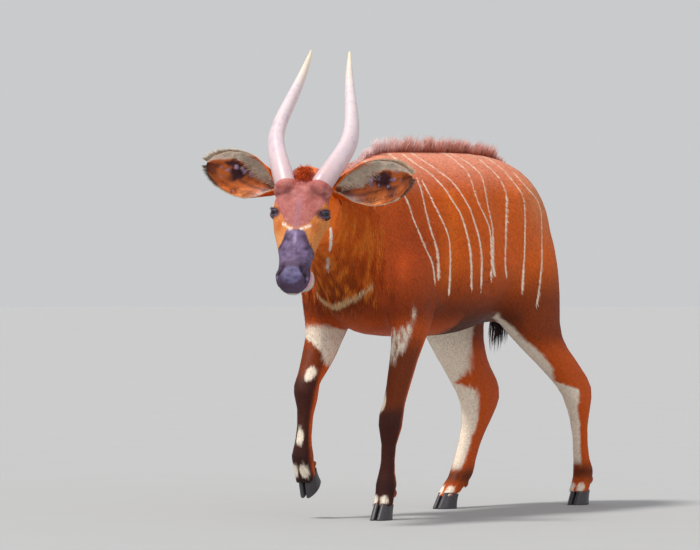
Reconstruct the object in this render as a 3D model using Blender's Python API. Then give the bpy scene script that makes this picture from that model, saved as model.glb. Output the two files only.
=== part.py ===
"""A bongo antelope in mid walk: head low, right forefoot lifted, left hind foot far back.

Metres, +Z up. The animal faces -Y and its left side is +X. The floor is z = 0.
Landmarks are first set out from the withers, which stand over (0, 0), and the whole
animal is moved by SHIFT at the end, so that it stands centred over the origin.
"""

import math
import random

import bmesh
import bpy
import numpy as np
from mathutils import Matrix, Vector

SHIFT = Vector((-0.060, -0.1885, 0.0))
GAP = 0.0003
BODY_VOXEL = 0.0075
HEAD_VOXEL = 0.0034
LEG_CUT_Z = 0.583

# Triangles kept on each flesh node.
BODY_TRIANGLES = 4500
HEAD_TRIANGLES = 2300

# The head: its poll, the way it faces, and how far its nose hangs and its poll tips.
POLL = Vector((0.085, -0.552, 1.137))
HEAD_YAW = math.radians(20.5)
HEAD_PITCH = math.radians(52)
HEAD_ROLL = math.radians(4)

EYE_CENTRE = (0.137, 0.0745, -0.040)
EYE_RADIUS = 0.0195
LID_THICKNESS = 0.0042

# Trunk and neck. Each row: top x, y, z; underside x, y, z; half width; height of the
# widest point as a share of the depth; squareness above and below that point.
TRUNK = (
    (0.00, 1.000, 1.020, 0.00, 1.000, 0.900, 0.045, 0.50, 2.0, 2.0),
    (0.00, 0.975, 1.078, 0.00, 0.975, 0.800, 0.085, 0.52, 2.0, 2.0),
    (0.00, 0.925, 1.128, 0.00, 0.925, 0.700, 0.130, 0.55, 1.9, 2.0),
    (0.00, 0.840, 1.180, 0.00, 0.840, 0.655, 0.175, 0.55, 1.9, 2.1),
    (0.00, 0.720, 1.212, 0.00, 0.720, 0.640, 0.202, 0.54, 1.9, 2.2),
    (0.00, 0.580, 1.224, 0.00, 0.580, 0.630, 0.216, 0.46, 1.9, 2.2),
    (0.00, 0.440, 1.226, 0.00, 0.440, 0.604, 0.230, 0.42, 1.9, 2.2),
    (0.00, 0.300, 1.224, 0.00, 0.300, 0.596, 0.232, 0.42, 1.9, 2.2),
    (0.00, 0.160, 1.224, 0.00, 0.160, 0.596, 0.216, 0.44, 1.8, 2.2),
    (0.00, 0.050, 1.228, 0.00, 0.040, 0.600, 0.186, 0.46, 1.7, 2.2),
    (0.00, -0.040, 1.218, 0.00, -0.090, 0.614, 0.162, 0.46, 1.7, 2.1),
    (0.003, -0.110, 1.196, 0.00, -0.190, 0.665, 0.140, 0.46, 1.8, 2.1),
    (0.012, -0.180, 1.172, 0.010, -0.255, 0.738, 0.118, 0.48, 1.9, 2.0),
    (0.030, -0.270, 1.152, 0.032, -0.325, 0.812, 0.098, 0.52, 2.0, 2.0),
    (0.050, -0.360, 1.140, 0.060, -0.400, 0.868, 0.086, 0.54, 2.1, 2.0),
    (0.068, -0.450, 1.134, 0.085, -0.470, 0.902, 0.080, 0.56, 2.1, 2.0),
    (0.080, -0.520, 1.126, 0.103, -0.520, 0.928, 0.068, 0.56, 2.1, 2.0),
    (0.088, -0.555, 1.100, 0.106, -0.555, 0.962, 0.048, 0.54, 2.0, 2.0),
    (0.094, -0.575, 1.060, 0.106, -0.575, 1.000, 0.022, 0.50, 2.0, 2.0),
)

# Legs as level sections. Each row: z, centre x, front y, rear y, half width.
FORELEG_LEFT = (
    (0.960, 0.100, -0.060, 0.130, 0.045),
    (0.870, 0.126, -0.115, 0.135, 0.060),
    (0.780, 0.144, -0.140, 0.130, 0.066),
    (0.710, 0.150, -0.130, 0.112, 0.064),
    (0.650, 0.151, -0.112, 0.085, 0.057),
    (0.590, 0.150, -0.106, 0.048, 0.049),
    (0.520, 0.146, -0.110, 0.004, 0.0425),
    (0.450, 0.140, -0.119, -0.024, 0.038),
    (0.390, 0.134, -0.130, -0.046, 0.0355),
    (0.350, 0.130, -0.145, -0.055, 0.0385),
    (0.318, 0.128, -0.149, -0.059, 0.0385),
    (0.285, 0.126, -0.142, -0.066, 0.033),
    (0.245, 0.123, -0.135, -0.078, 0.025),
    (0.195, 0.121, -0.136, -0.082, 0.0235),
    (0.155, 0.120, -0.143, -0.084, 0.0265),
    (0.118, 0.120, -0.155, -0.080, 0.0345),
    (0.088, 0.121, -0.160, -0.092, 0.033),
    (0.064, 0.123, -0.169, -0.106, 0.035),
    (0.040, 0.124, -0.180, -0.114, 0.037),
)
FORELEG_RIGHT = (
    (0.960, -0.105, -0.080, 0.130, 0.050),
    (0.870, -0.132, -0.140, 0.120, 0.066),
    (0.780, -0.150, -0.165, 0.105, 0.070),
    (0.710, -0.155, -0.170, 0.090, 0.066),
    (0.650, -0.155, -0.160, 0.062, 0.058),
    (0.590, -0.152, -0.170, 0.015, 0.050),
    (0.530, -0.147, -0.198, -0.045, 0.045),
    (0.485, -0.141, -0.224, -0.102, 0.0415),
    (0.452, -0.137, -0.248, -0.148, 0.040),
    (0.422, -0.135, -0.258, -0.164, 0.040),
    (0.392, -0.134, -0.252, -0.170, 0.035),
    (0.345, -0.134, -0.247, -0.186, 0.0265),
    (0.290, -0.136, -0.252, -0.191, 0.025),
    (0.245, -0.138, -0.259, -0.190, 0.028),
    (0.208, -0.140, -0.266, -0.184, 0.0355),
    (0.176, -0.140, -0.257, -0.182, 0.034),
    (0.148, -0.140, -0.246, -0.170, 0.036),
    (0.118, -0.140, -0.236, -0.158, 0.037),
)
HINDLEG_LEFT = (
    (1.040, 0.070, 0.600, 0.880, 0.070),
    (0.950, 0.095, 0.565, 0.930, 0.090),
    (0.850, 0.115, 0.545, 0.930, 0.100),
    (0.760, 0.134, 0.538, 0.918, 0.098),
    (0.680, 0.146, 0.562, 0.906, 0.088),
    (0.615, 0.151, 0.632, 0.908, 0.077),
    (0.557, 0.155, 0.716, 0.950, 0.065),
    (0.505, 0.158, 0.800, 1.022, 0.055),
    (0.462, 0.160, 0.866, 1.080, 0.047),
    (0.425, 0.160, 0.922, 1.120, 0.042),
    (0.390, 0.160, 0.970, 1.132, 0.040),
    (0.355, 0.159, 1.004, 1.124, 0.039),
    (0.315, 0.157, 1.032, 1.115, 0.035),
    (0.270, 0.155, 1.050, 1.112, 0.0295),
    (0.215, 0.153, 1.062, 1.120, 0.027),
    (0.165, 0.151, 1.070, 1.132, 0.0285),
    (0.125, 0.150, 1.078, 1.150, 0.0345),
    (0.098, 0.150, 1.076, 1.148, 0.0345),
    (0.066, 0.150, 1.062, 1.128, 0.035),
    (0.040, 0.150, 1.048, 1.116, 0.037),
)
HINDLEG_RIGHT = (
    (1.040, -0.070, 0.580, 0.870, 0.070),
    (0.950, -0.095, 0.535, 0.905, 0.090),
    (0.850, -0.115, 0.505, 0.905, 0.100),
    (0.760, -0.130, 0.498, 0.885, 0.098),
    (0.680, -0.136, 0.515, 0.875, 0.088),
    (0.615, -0.134, 0.550, 0.868, 0.077),
    (0.557, -0.129, 0.590, 0.874, 0.066),
    (0.505, -0.125, 0.630, 0.898, 0.056),
    (0.462, -0.122, 0.664, 0.938, 0.048),
    (0.425, -0.119, 0.693, 0.966, 0.042),
    (0.390, -0.116, 0.720, 0.972, 0.040),
    (0.355, -0.112, 0.738, 0.955, 0.039),
    (0.315, -0.108, 0.742, 0.916, 0.037),
    (0.270, -0.104, 0.732, 0.866, 0.034),
    (0.215, -0.099, 0.702, 0.814, 0.031),
    (0.165, -0.095, 0.672, 0.778, 0.032),
    (0.125, -0.092, 0.646, 0.752, 0.0355),
    (0.098, -0.090, 0.620, 0.728, 0.0355),
    (0.066, -0.090, 0.580, 0.672, 0.035),
    (0.040, -0.090, 0.556, 0.640, 0.037),
)

# The skull and jaw, along the face from behind the poll to the lips. Each row: distance,
# height of the upper line, of the lower line, half width, height of the widest point,
# and the half width of the lower line as a share.
SKULL = (
    (-0.075, -0.045, -0.150, 0.052, -0.090, 0.80),
    (-0.035, -0.012, -0.172, 0.066, -0.080, 0.76),
    (0.000, 0.000, -0.186, 0.074, -0.068, 0.74),
    (0.040, 0.010, -0.198, 0.082, -0.058, 0.70),
    (0.080, 0.014, -0.206, 0.088, -0.050, 0.66),
    (0.115, 0.013, -0.208, 0.090, -0.047, 0.62),
    (0.150, 0.008, -0.202, 0.088, -0.050, 0.60),
    (0.190, 0.000, -0.184, 0.081, -0.055, 0.56),
    (0.230, -0.006, -0.160, 0.071, -0.060, 0.54),
    (0.270, -0.010, -0.140, 0.061, -0.064, 0.56),
    (0.310, -0.013, -0.126, 0.053, -0.066, 0.60),
    (0.345, -0.015, -0.117, 0.049, -0.064, 0.64),
    (0.375, -0.016, -0.112, 0.0475, -0.060, 0.66),
    (0.400, -0.020, -0.108, 0.044, -0.060, 0.66),
    (0.417, -0.031, -0.100, 0.036, -0.062, 0.70),
    (0.427, -0.046, -0.088, 0.022, -0.066, 0.80),
)

# A horn's course in the head's sagittal frame: rise, set back, spread, radius.
HORN = (
    (-0.030, 0.000, 0.052, 0.032),
    (0.000, 0.012, 0.062, 0.032),
    (0.045, 0.050, 0.085, 0.0305),
    (0.095, 0.100, 0.108, 0.0285),
    (0.140, 0.145, 0.121, 0.0275),
    (0.190, 0.195, 0.119, 0.0260),
    (0.245, 0.248, 0.106, 0.0232),
    (0.300, 0.300, 0.091, 0.0192),
    (0.355, 0.350, 0.078, 0.0140),
    (0.405, 0.392, 0.069, 0.0080),
    (0.438, 0.418, 0.064, 0.0028),
)

# An ear: its root in the head's axes, its length, and rows of distance, half width and
# bend of its cup in degrees to each side.
EAR_ROOT = (0.003, 0.062, -0.085)
EAR_LENGTH = 0.285
EAR_SEAM = 0.052
EAR_POINTS = 9
EAR = (
    (0.00, 0.019, 165),
    (0.10, 0.021, 160),
    (0.20, 0.034, 135),
    (0.32, 0.052, 98),
    (0.46, 0.069, 74),
    (0.60, 0.072, 60),
    (0.74, 0.065, 54),
    (0.86, 0.050, 50),
    (0.95, 0.029, 48),
    (1.00, 0.007, 46),
)

# The tail's course and radius: x, y, z, radius.
TAIL = (
    (0.000, 0.930, 1.065, 0.036),
    (-0.003, 0.995, 1.050, 0.031),
    (-0.016, 1.028, 0.990, 0.023),
    (-0.044, 1.030, 0.900, 0.018),
    (-0.080, 1.016, 0.800, 0.0155),
    (-0.108, 1.000, 0.720, 0.014),
    (-0.124, 0.990, 0.670, 0.013),
)

# Where the flesh is parted: a point and the way the part in front lies. The neck and the
# tail are in the animal's axes, and the head's point is in the head's.
NECK_PLANE = ((0.0, -0.115, 0.93), (0.06, -0.95, 0.30))
HEAD_PLANE = ((-0.020, 0.0, -0.09), (0.28, -0.90, -0.22))
TAIL_PLANE = ((-0.006, 1.036, 1.020), (-0.15, 0.45, -0.88))
HORN_SEAM_ROW = 3
ROOT_CLEAR = 0.002

# Each foot: middle of its sole, heading, how far it is bent back, middle of its dewclaws.
FEET = {
    "foreleg_left": ((0.125, -0.152, 0.0), 0.10, 0, (0.121, -0.095, 0.085)),
    "foreleg_right": ((-0.140, -0.172, 0.103), 0.0, 44, (-0.140, -0.182, 0.178)),
    "hindleg_left": ((0.151, 1.082, 0.0), 0.05, 0, (0.150, 1.140, 0.085)),
    "hindleg_right": ((-0.090, 0.592, 0.0), -0.18, 0, (-0.090, 0.702, 0.082)),
}
HOOF_HEIGHT = 0.056
HOOF_SEAM = 0.047
CORONET_SLOPE = 0.16

# Locks of the mane along y on the trunk and on the neck, and how deep they are rooted.
TORSO_MANE = (-0.005, 0.820, 45)
NECK_MANE = (-0.430, -0.045, 20)
MANE_ROOT = 0.013
TUFT_LOCKS = 16
POLL_LOCKS = 6

# The opening between the lips, and how deep in the mouth the lips and the tongue end.
LIP_DEPTH = 0.020
TONGUE_FRONT = 0.0075
TONGUE_PLACE = (0.385, 0.030, -0.094)
TONGUE_REACH = 0.030

random.seed(11)


def clear_scene():
    for obj in list(bpy.data.objects):
        bpy.data.objects.remove(obj, do_unlink=True)


def material(name, colour, roughness):
    made = bpy.data.materials.new(name)
    made.use_nodes = True
    shader = made.node_tree.nodes["Principled BSDF"]
    shader.inputs["Base Color"].default_value = (*colour, 1)
    shader.inputs["Roughness"].default_value = roughness
    made.diffuse_color = (*colour, 1)
    return made


def object_of(name, bm, mat=None):
    bmesh.ops.recalc_face_normals(bm, faces=bm.faces)
    mesh = bpy.data.meshes.new(name)
    bm.to_mesh(mesh)
    bm.free()
    obj = bpy.data.objects.new(name, mesh)
    bpy.context.scene.collection.objects.link(obj)
    if mat:
        mesh.materials.append(mat)
    return obj


def coordinates(obj):
    points = np.empty(len(obj.data.vertices) * 3)
    obj.data.vertices.foreach_get("co", points)
    return points.reshape(-1, 3)


def set_coordinates(obj, points):
    obj.data.vertices.foreach_set("co", points.reshape(-1))
    obj.data.update()


def apply_modifiers(obj):
    """Bakes the modifiers of obj into its mesh."""
    graph = bpy.context.evaluated_depsgraph_get()
    made = bpy.data.meshes.new_from_object(obj.evaluated_get(graph))
    obj.modifiers.clear()
    old = obj.data
    obj.data = made
    bpy.data.meshes.remove(old)


def remove(*objects):
    for obj in objects:
        bpy.data.objects.remove(obj, do_unlink=True)


def keep_largest(obj):
    """Drops every closed surface of obj but the one with the most faces."""
    bm = bmesh.new()
    bm.from_mesh(obj.data)
    left = set(bm.faces)
    islands = []
    while left:
        seed = left.pop()
        island = [seed]
        edge = [seed]
        while edge:
            face = edge.pop()
            for side in face.edges:
                for other in side.link_faces:
                    if other in left:
                        left.remove(other)
                        island.append(other)
                        edge.append(other)
        islands.append(island)
    islands.sort(key=len)
    for island in islands[:-1]:
        bmesh.ops.delete(bm, geom=island, context="FACES")
    bm.to_mesh(obj.data)
    bm.free()


def boolean(obj, operation, cutters):
    """Cuts or joins obj with a group of closed meshes in one step, and removes them."""
    group = bpy.data.collections.new("cutters")
    for cutter in cutters:
        group.objects.link(cutter)
        cutter.hide_render = True
        cutter.display_type = "WIRE"
    step = obj.modifiers.new(operation, "BOOLEAN")
    step.operation = operation
    step.operand_type = "COLLECTION"
    step.collection = group
    step.solver = "EXACT"
    apply_modifiers(obj)
    remove(*cutters)
    bpy.data.collections.remove(group)
    keep_largest(obj)


def fuse(name, pieces, voxel, smoothing):
    """One smooth skin round overlapping closed pieces."""
    bm = bmesh.new()
    for piece in pieces:
        bm.from_mesh(piece.data)
    remove(*pieces)
    obj = object_of(name, bm)
    step = obj.modifiers.new("skin", "REMESH")
    step.mode = "VOXEL"
    step.voxel_size = voxel
    ease = obj.modifiers.new("ease", "SMOOTH")
    ease.factor = 0.5
    ease.iterations = smoothing
    apply_modifiers(obj)
    keep_largest(obj)
    return obj


def thin_out(obj, triangles):
    """Lowers the number of triangles and leaves the surface where it was."""
    bm = bmesh.new()
    bm.from_mesh(obj.data)
    bmesh.ops.triangulate(bm, faces=bm.faces)
    now = len(bm.faces)
    bm.to_mesh(obj.data)
    bm.free()
    if now > triangles:
        step = obj.modifiers.new("thin", "DECIMATE")
        step.ratio = triangles / now
        apply_modifiers(obj)


def swell(obj, frame, places):
    """Raises or sinks the surface round each place: centre, reach on three axes, height."""
    points = coordinates(obj)
    normals = np.empty(len(points) * 3)
    obj.data.vertex_normals.foreach_get("vector", normals)
    normals = normals.reshape(-1, 3)
    origin = np.array(frame.to_translation())
    turn = np.array(frame.to_3x3())
    local = (points - origin) @ turn
    push = np.zeros(len(points))
    for centre, reach, height in places:
        away = ((local - centre) / reach) ** 2
        push += height * np.exp(-away.sum(axis=1))
    set_coordinates(obj, points + normals * push[:, None])


def copy_of(obj, name):
    made = obj.copy()
    made.data = obj.data.copy()
    made.name = name
    bpy.context.scene.collection.objects.link(made)
    return made


def smooth_rows(rows, between):
    """Rows with others set between them on a smooth curve through them."""
    rows = np.array(rows, float)
    ends = np.vstack([2 * rows[0] - rows[1], rows, 2 * rows[-1] - rows[-2]])
    made = []
    for i in range(1, len(ends) - 2):
        p0, p1, p2, p3 = ends[i - 1 : i + 3]
        for step in range(between):
            t = step / between
            made.append(
                0.5
                * (
                    2 * p1
                    + (p2 - p0) * t
                    + (2 * p0 - 5 * p1 + 4 * p2 - p3) * t**2
                    + (3 * p1 - p0 - 3 * p2 + p3) * t**3
                )
            )
    made.append(ends[-2])
    return np.array(made)


def power(value, squareness):
    return math.copysign(abs(value) ** (2 / squareness), value)


def loft(name, rings, mat=None):
    """A closed tube through rings that have the same number of points."""
    bm = bmesh.new()
    rows = [[bm.verts.new(point) for point in ring] for ring in rings]
    count = len(rows[0])
    for near, far in zip(rows, rows[1:]):
        for i in range(count):
            j = (i + 1) % count
            bm.faces.new((near[i], near[j], far[j], far[i]))
    bm.faces.new(rows[0])
    bm.faces.new(rows[-1])
    return object_of(name, bm, mat)


def trunk_ring(row, side, count):
    top = Vector(row[0:3])
    under = Vector(row[3:6])
    half, share, square_up, square_down = row[6:10]
    up = top - under
    widest = under + up * share
    ring = []
    for i in range(count):
        turn = 2 * math.pi * i / count
        across = math.cos(turn)
        lift = math.sin(turn)
        square = square_up if lift > 0 else square_down
        reach = up * (1 - share) if lift > 0 else up * share
        ring.append(
            widest
            + side * half * power(across, square)
            + reach * power(lift, square)
        )
    return ring


def trunk():
    rows = smooth_rows(TRUNK, 3)
    rings = []
    for i, row in enumerate(rows):
        before = rows[max(i - 1, 0)]
        after = rows[min(i + 1, len(rows) - 1)]
        way = Vector((before[0:3] + before[3:6] - after[0:3] - after[3:6]).tolist())
        side = Vector((way.y, -way.x, 0)).normalized()
        rings.append(trunk_ring(row.tolist(), side, 40))
    return loft("trunk", rings)


def leg(name, rows):
    rings = []
    for z, x, front, rear, half in smooth_rows(rows, 3).tolist():
        ring = []
        for i in range(24):
            turn = 2 * math.pi * i / 24
            across = half * power(math.cos(turn), 2.2)
            along = (rear - front) / 2 * power(math.sin(turn), 2.2)
            ring.append(Vector((x + across, (front + rear) / 2 + along, z)))
        rings.append(ring)
    return loft(name, rings)


def ball(name, centre, radii, turn=Matrix.Identity(3), mat=None, rings=16):
    bm = bmesh.new()
    bmesh.ops.create_uvsphere(bm, u_segments=2 * rings, v_segments=rings, radius=1)
    for vert in bm.verts:
        scaled = Vector((vert.co[i] * radii[i] for i in range(3)))
        vert.co = Vector(centre) + turn @ scaled
    return object_of(name, bm, mat)


def head_frame():
    """The head's own axes: along the face, to its left, and out of the brow."""
    along = Vector(
        (
            math.cos(HEAD_PITCH) * math.sin(HEAD_YAW),
            -math.cos(HEAD_PITCH) * math.cos(HEAD_YAW),
            -math.sin(HEAD_PITCH),
        )
    )
    level = Vector((math.cos(HEAD_YAW), math.sin(HEAD_YAW), 0))
    brow = level.cross(along).normalized()
    if brow.z < 0:
        brow = -brow
    left = level * math.cos(HEAD_ROLL) - brow * math.sin(HEAD_ROLL)
    out = brow * math.cos(HEAD_ROLL) + level * math.sin(HEAD_ROLL)
    made = Matrix((along, left, out)).transposed().to_4x4()
    made.translation = POLL
    return made


def skull(name, frame, inset=0.0):
    """The head's outline solid, or the same solid drawn in by inset."""
    rings = []
    for row in smooth_rows(SKULL, 3).tolist():
        along, upper, lower, half, widest, narrow = row
        upper -= inset
        lower += inset
        half = max(half - inset, 0.004)
        along -= inset * max(0.0, (along - 0.36) / 0.066)
        ring = []
        for i in range(36):
            turn = 2 * math.pi * i / 36
            lift = power(math.sin(turn), 2.3)
            reach = upper - widest if lift > 0 else widest - lower
            across = half * power(math.cos(turn), 2.3)
            if lift < 0:
                across *= 1 + (narrow - 1) * (-lift) ** 1.3
            ring.append(frame @ Vector((along, across, widest + lift * reach)))
        rings.append(ring)
    return loft(name, rings)


def mouth_slab(name, frame, grow):
    """The opening between the lips, a little wider on the left where the lip hangs."""
    rings = []
    for i in range(17):
        across = -0.06 + 0.12 * i / 16
        sag = math.exp(-(((across - 0.030) / 0.016) ** 2))
        height = 0.0011 + 0.0042 * sag - grow
        corner = 0.336 + 0.006 * sag + grow
        level = -0.0905 - 0.0030 * sag
        ring = [
            (corner, level - 0.004),
            (corner + 0.012, level - 0.003 - height * 0.6),
            (0.380, level - height),
            (0.440, level + 0.004 - height * 0.4),
            (0.440, level + 0.004 + height * 0.4),
            (0.380, level + height),
            (corner + 0.012, level - 0.003 + height * 0.6),
        ]
        rings.append([frame @ Vector((a, across, c)) for a, c in ring])
    return loft(name, rings)


def ear(name, frame, side):
    """A cupped ear: a leaf of skin bent round its length, thick at the root."""
    if side > 0:
        way = Vector((-0.16, 0.97, 0.13)).normalized()
        open_to = Vector((0.55, 0.0, 0.75))
    else:
        way = Vector((-0.21, -0.96, 0.16)).normalized()
        open_to = Vector((0.62, 0.10, 0.70))
    face = (open_to - way * open_to.dot(way)).normalized()
    across = way.cross(face)
    root = Vector((EAR_ROOT[0], side * EAR_ROOT[1], EAR_ROOT[2]))
    rings = []
    for t, half, bend in smooth_rows(EAR, 2).tolist():
        bend = math.radians(bend)
        radius = half / math.sin(min(bend, math.pi / 2))
        thick = 0.0115 - 0.0070 * min(t / 0.35, 1.0)
        centre = root + way * (t * EAR_LENGTH) - face * 0.016 * math.sin(math.pi * t)
        outer = []
        inner = []
        for i in range(EAR_POINTS):
            share = 2 * i / (EAR_POINTS - 1) - 1
            turn = bend * share
            line = across * math.sin(turn) - face * math.cos(turn)
            edge = thick / 2 * (1 - 0.5 * abs(share) ** 4)
            outer.append(centre + line * (radius + edge))
            inner.append(centre + line * (radius - edge))
        ring = outer + inner[::-1]
        rings.append([frame @ (point + face * radius * 0.6) for point in ring])
    return loft(name, rings), root, way


def horn(name, frame, side, mat):
    forward = Vector((math.sin(HEAD_YAW), -math.cos(HEAD_YAW), 0))
    left = (frame.to_3x3() @ Vector((0, 1, 0))).normalized()
    up = left.cross(forward).normalized()
    if up.z < 0:
        up = -up
    back = left.cross(up).normalized()
    if back.dot(forward) > 0:
        back = -back
    base = frame @ Vector((0.035, 0, 0.0))
    rows = smooth_rows(HORN, 2)
    middle = [
        base + up * row[0] + back * row[1] + left * side * row[2] for row in rows
    ]
    rings = []
    for i, row in enumerate(rows):
        tangent = (middle[min(i + 1, len(rows) - 1)] - middle[max(i - 1, 0)]).normalized()
        u = left - tangent * left.dot(tangent)
        u.normalize()
        v = tangent.cross(u)
        twist = side * 2.4 * i / len(rows)
        ring = []
        for k in range(12):
            turn = 2 * math.pi * k / 12
            keel = 1 + 0.10 * math.cos(2 * (turn - twist))
            ring.append(middle[i] + (u * math.cos(turn) + v * math.sin(turn)) * row[3] * keel)
        rings.append(ring)
    return loft(name, rings, mat), middle


def half_space(name, point, normal, size=3.0):
    """A large box that fills the side of a plane that normal points away from."""
    normal = Vector(normal).normalized()
    turn = normal.to_track_quat("Z", "Y").to_matrix().to_4x4()
    bm = bmesh.new()
    bmesh.ops.create_cube(bm, size=size)
    bmesh.ops.translate(bm, verts=bm.verts, vec=(0, 0, -size / 2))
    bmesh.ops.transform(bm, verts=bm.verts, matrix=Matrix.Translation(point) @ turn)
    return object_of(name, bm)


def split(obj, name, point, normal):
    """Parts obj at a plane: obj keeps the side behind it, and the side in front is new."""
    normal = Vector(normal).normalized()
    front = copy_of(obj, name)
    boolean(front, "DIFFERENCE", [half_space("cut", Vector(point) + normal * GAP, normal)])
    boolean(obj, "DIFFERENCE", [half_space("cut", Vector(point), -normal)])
    return front


def claw(name, foot, side, mat):
    """One half of a cloven hoof. foot maps toe-ward, outward and up from the sole."""
    rings = []
    for step in range(4):
        t = step / 3
        height = HOOF_HEIGHT * t
        toe = 0.053 - 0.034 * t
        heel = -0.036 - 0.010 * t + 0.012 * (1 - t) * t
        wide = 0.0335 - 0.0035 * t
        inner = 0.0016 + 0.0010 * t
        ring = []
        for k in range(14):
            turn = 2 * math.pi * k / 14
            along = (toe + heel) / 2 + (toe - heel) / 2 * math.cos(turn)
            lean = 1 - 0.42 * max(0.0, math.cos(turn)) ** 2
            out = math.sin(turn)
            if out >= 0:
                across = inner + 0.010 + (wide - inner - 0.010) * out ** 0.8 * lean
            else:
                across = inner + 0.010 - 0.010 * (-out) ** 0.35
            rise = height * (1.0 if along > 0 else 1.0 + 3.0 * along * t)
            ring.append(foot @ Vector((along, side * across, rise)))
        rings.append(ring)
    return loft(name, rings, mat)


def foot_frame(place, heading, pitch=0.0):
    """Toe-ward, outward (to the animal's left) and up axes of a foot."""
    turn = Matrix.Rotation(heading, 4, "Z") @ Matrix.Rotation(pitch, 4, "X")
    base = Matrix(((0, 1, 0), (-1, 0, 0), (0, 0, 1))).to_4x4()
    return Matrix.Translation(place) @ turn @ base


def lock(name, root, way, bend, wide, length, thick, flat, segments=3):
    """A flat tapered lock of hair that bends from way towards bend."""
    rings = []
    place = Vector(root)
    heading = Vector(way).normalized()
    for step in range(segments + 1):
        t = step / segments
        taper = 1 - 0.93 * t**1.6
        normal = flat - heading * flat.dot(heading)
        normal.normalize()
        across = heading.cross(normal)
        half = wide / 2 * taper
        deep = max(thick / 2 * taper, 0.0004)
        rings.append(
            [
                place + across * half,
                place + normal * deep,
                place - across * half,
                place - normal * deep,
            ]
        )
        heading = (heading + Vector(bend) / segments).normalized()
        place = place + heading * length / segments
    return loft(name, rings)


def body(frame):
    """Trunk, neck, shoulders, haunches and legs as one skin."""
    pieces = [trunk()]
    pieces.append(leg("leg", FORELEG_LEFT))
    pieces.append(leg("leg", FORELEG_RIGHT))
    pieces.append(leg("leg", HINDLEG_LEFT))
    pieces.append(leg("leg", HINDLEG_RIGHT))
    pieces.append(skull("skull", frame))
    tilt = Matrix.Rotation(math.radians(18), 3, "X")
    for side in (-1, 1):
        pieces.append(
            ball("blade", (side * 0.104, 0.045, 0.95), (0.060, 0.115, 0.215), tilt)
        )
        pieces.append(ball("hip", (side * 0.110, 0.700, 0.98), (0.085, 0.180, 0.165)))
    obj = fuse("body", pieces, BODY_VOXEL, 5)
    upper = obj.vertex_groups.new(name="upper")
    for i, z in enumerate(coordinates(obj)[:, 2]):
        weight = min(max((z - 0.53) / 0.12, 0.0), 1.0)
        if weight > 0:
            upper.add([i], weight, "REPLACE")
    ease = obj.modifiers.new("ease", "SMOOTH")
    ease.factor = 0.5
    ease.iterations = 60
    ease.vertex_group = "upper"
    apply_modifiers(obj)
    return obj


BODY_SWELLS = (
    ((0.215, 0.640, 1.085), (0.050, 0.055, 0.045), 0.014),
    ((-0.215, 0.640, 1.085), (0.050, 0.055, 0.045), 0.014),
    ((0.22, 0.500, 1.02), (0.10, 0.075, 0.09), -0.016),
    ((-0.22, 0.500, 1.02), (0.10, 0.075, 0.09), -0.016),
    ((0.20, 0.175, 0.86), (0.10, 0.030, 0.17), -0.008),
    ((-0.20, 0.175, 0.86), (0.10, 0.030, 0.17), -0.008),
    ((0.19, -0.115, 0.80), (0.06, 0.055, 0.060), 0.010),
    ((-0.19, -0.135, 0.79), (0.06, 0.055, 0.060), 0.010),
    ((0.16, 1.000, 0.455), (0.06, 0.045, 0.030), -0.006),
    ((-0.12, 0.860, 0.455), (0.06, 0.045, 0.030), -0.006),
)

HEAD_SWELLS = (
    ((0.112, 0.074, -0.014), (0.030, 0.016, 0.012), 0.0065),
    ((0.112, -0.074, -0.014), (0.030, 0.016, 0.012), 0.0065),
    ((0.185, 0.072, -0.070), (0.040, 0.020, 0.012), 0.0045),
    ((0.185, -0.072, -0.070), (0.040, 0.020, 0.012), 0.0045),
    ((0.125, 0.070, -0.130), (0.050, 0.030, 0.040), 0.0065),
    ((0.125, -0.070, -0.130), (0.050, 0.030, 0.040), 0.0065),
    ((0.225, 0.050, -0.030), (0.035, 0.018, 0.014), -0.0035),
    ((0.225, -0.050, -0.030), (0.035, 0.018, 0.014), -0.0035),
    ((0.385, 0.036, -0.044), (0.018, 0.014, 0.018), 0.0060),
    ((0.385, -0.036, -0.044), (0.018, 0.014, 0.018), 0.0060),
    ((0.372, 0.036, -0.078), (0.026, 0.016, 0.013), 0.0050),
    ((0.372, -0.036, -0.078), (0.026, 0.016, 0.013), 0.0050),
    ((0.330, 0.000, -0.014), (0.030, 0.020, 0.010), -0.0025),
    ((0.060, 0.000, 0.012), (0.040, 0.030, 0.020), 0.0040),
)


def head(frame):
    """The head with brows, cheeks, nostrils, lips and a mound over each eye."""
    pieces = [skull("skull", frame)]
    neck = trunk()
    boolean(
        neck,
        "DIFFERENCE",
        [half_space("cut", (0.05, -0.36, 1.0), (0.0, -1.0, 0.0))],
    )
    pieces.append(neck)
    for side in (-1, 1):
        along, out, lift = EYE_CENTRE
        place = frame @ Vector((along, side * out, lift))
        radius = EYE_RADIUS + LID_THICKNESS
        pieces.append(ball("lid", place, (radius,) * 3, rings=14))
        root = frame @ Vector((EAR_ROOT[0], side * EAR_ROOT[1], EAR_ROOT[2]))
        pieces.append(ball("bulb", root, (0.034, 0.034, 0.034)))
    made = fuse("head", pieces, HEAD_VOXEL, 4)
    swell(made, frame, HEAD_SWELLS)
    thin_out(made, HEAD_TRIANGLES)
    return made


def eye_axes(frame, side):
    turn = frame.to_3x3()
    out = (turn @ Vector((0.36, side * 0.88, 0.30))).normalized()
    slit = turn @ Vector((0.86, -side * 0.30, -0.20))
    slit = (slit - out * slit.dot(out)).normalized()
    return out, slit, out.cross(slit)


def almond(name, place, axes):
    """A prism with the outline of the opening between the lids."""
    out, slit, high = axes
    rings = []
    for depth in (0.004, 0.040):
        ring = []
        for i in range(20):
            turn = 2 * math.pi * i / 20
            along = 0.0165 * math.cos(turn)
            rise = 0.0108 * power(math.sin(turn), 1.7)
            ring.append(place + out * depth + slit * along + high * rise)
        rings.append(ring)
    return loft(name, rings)


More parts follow.
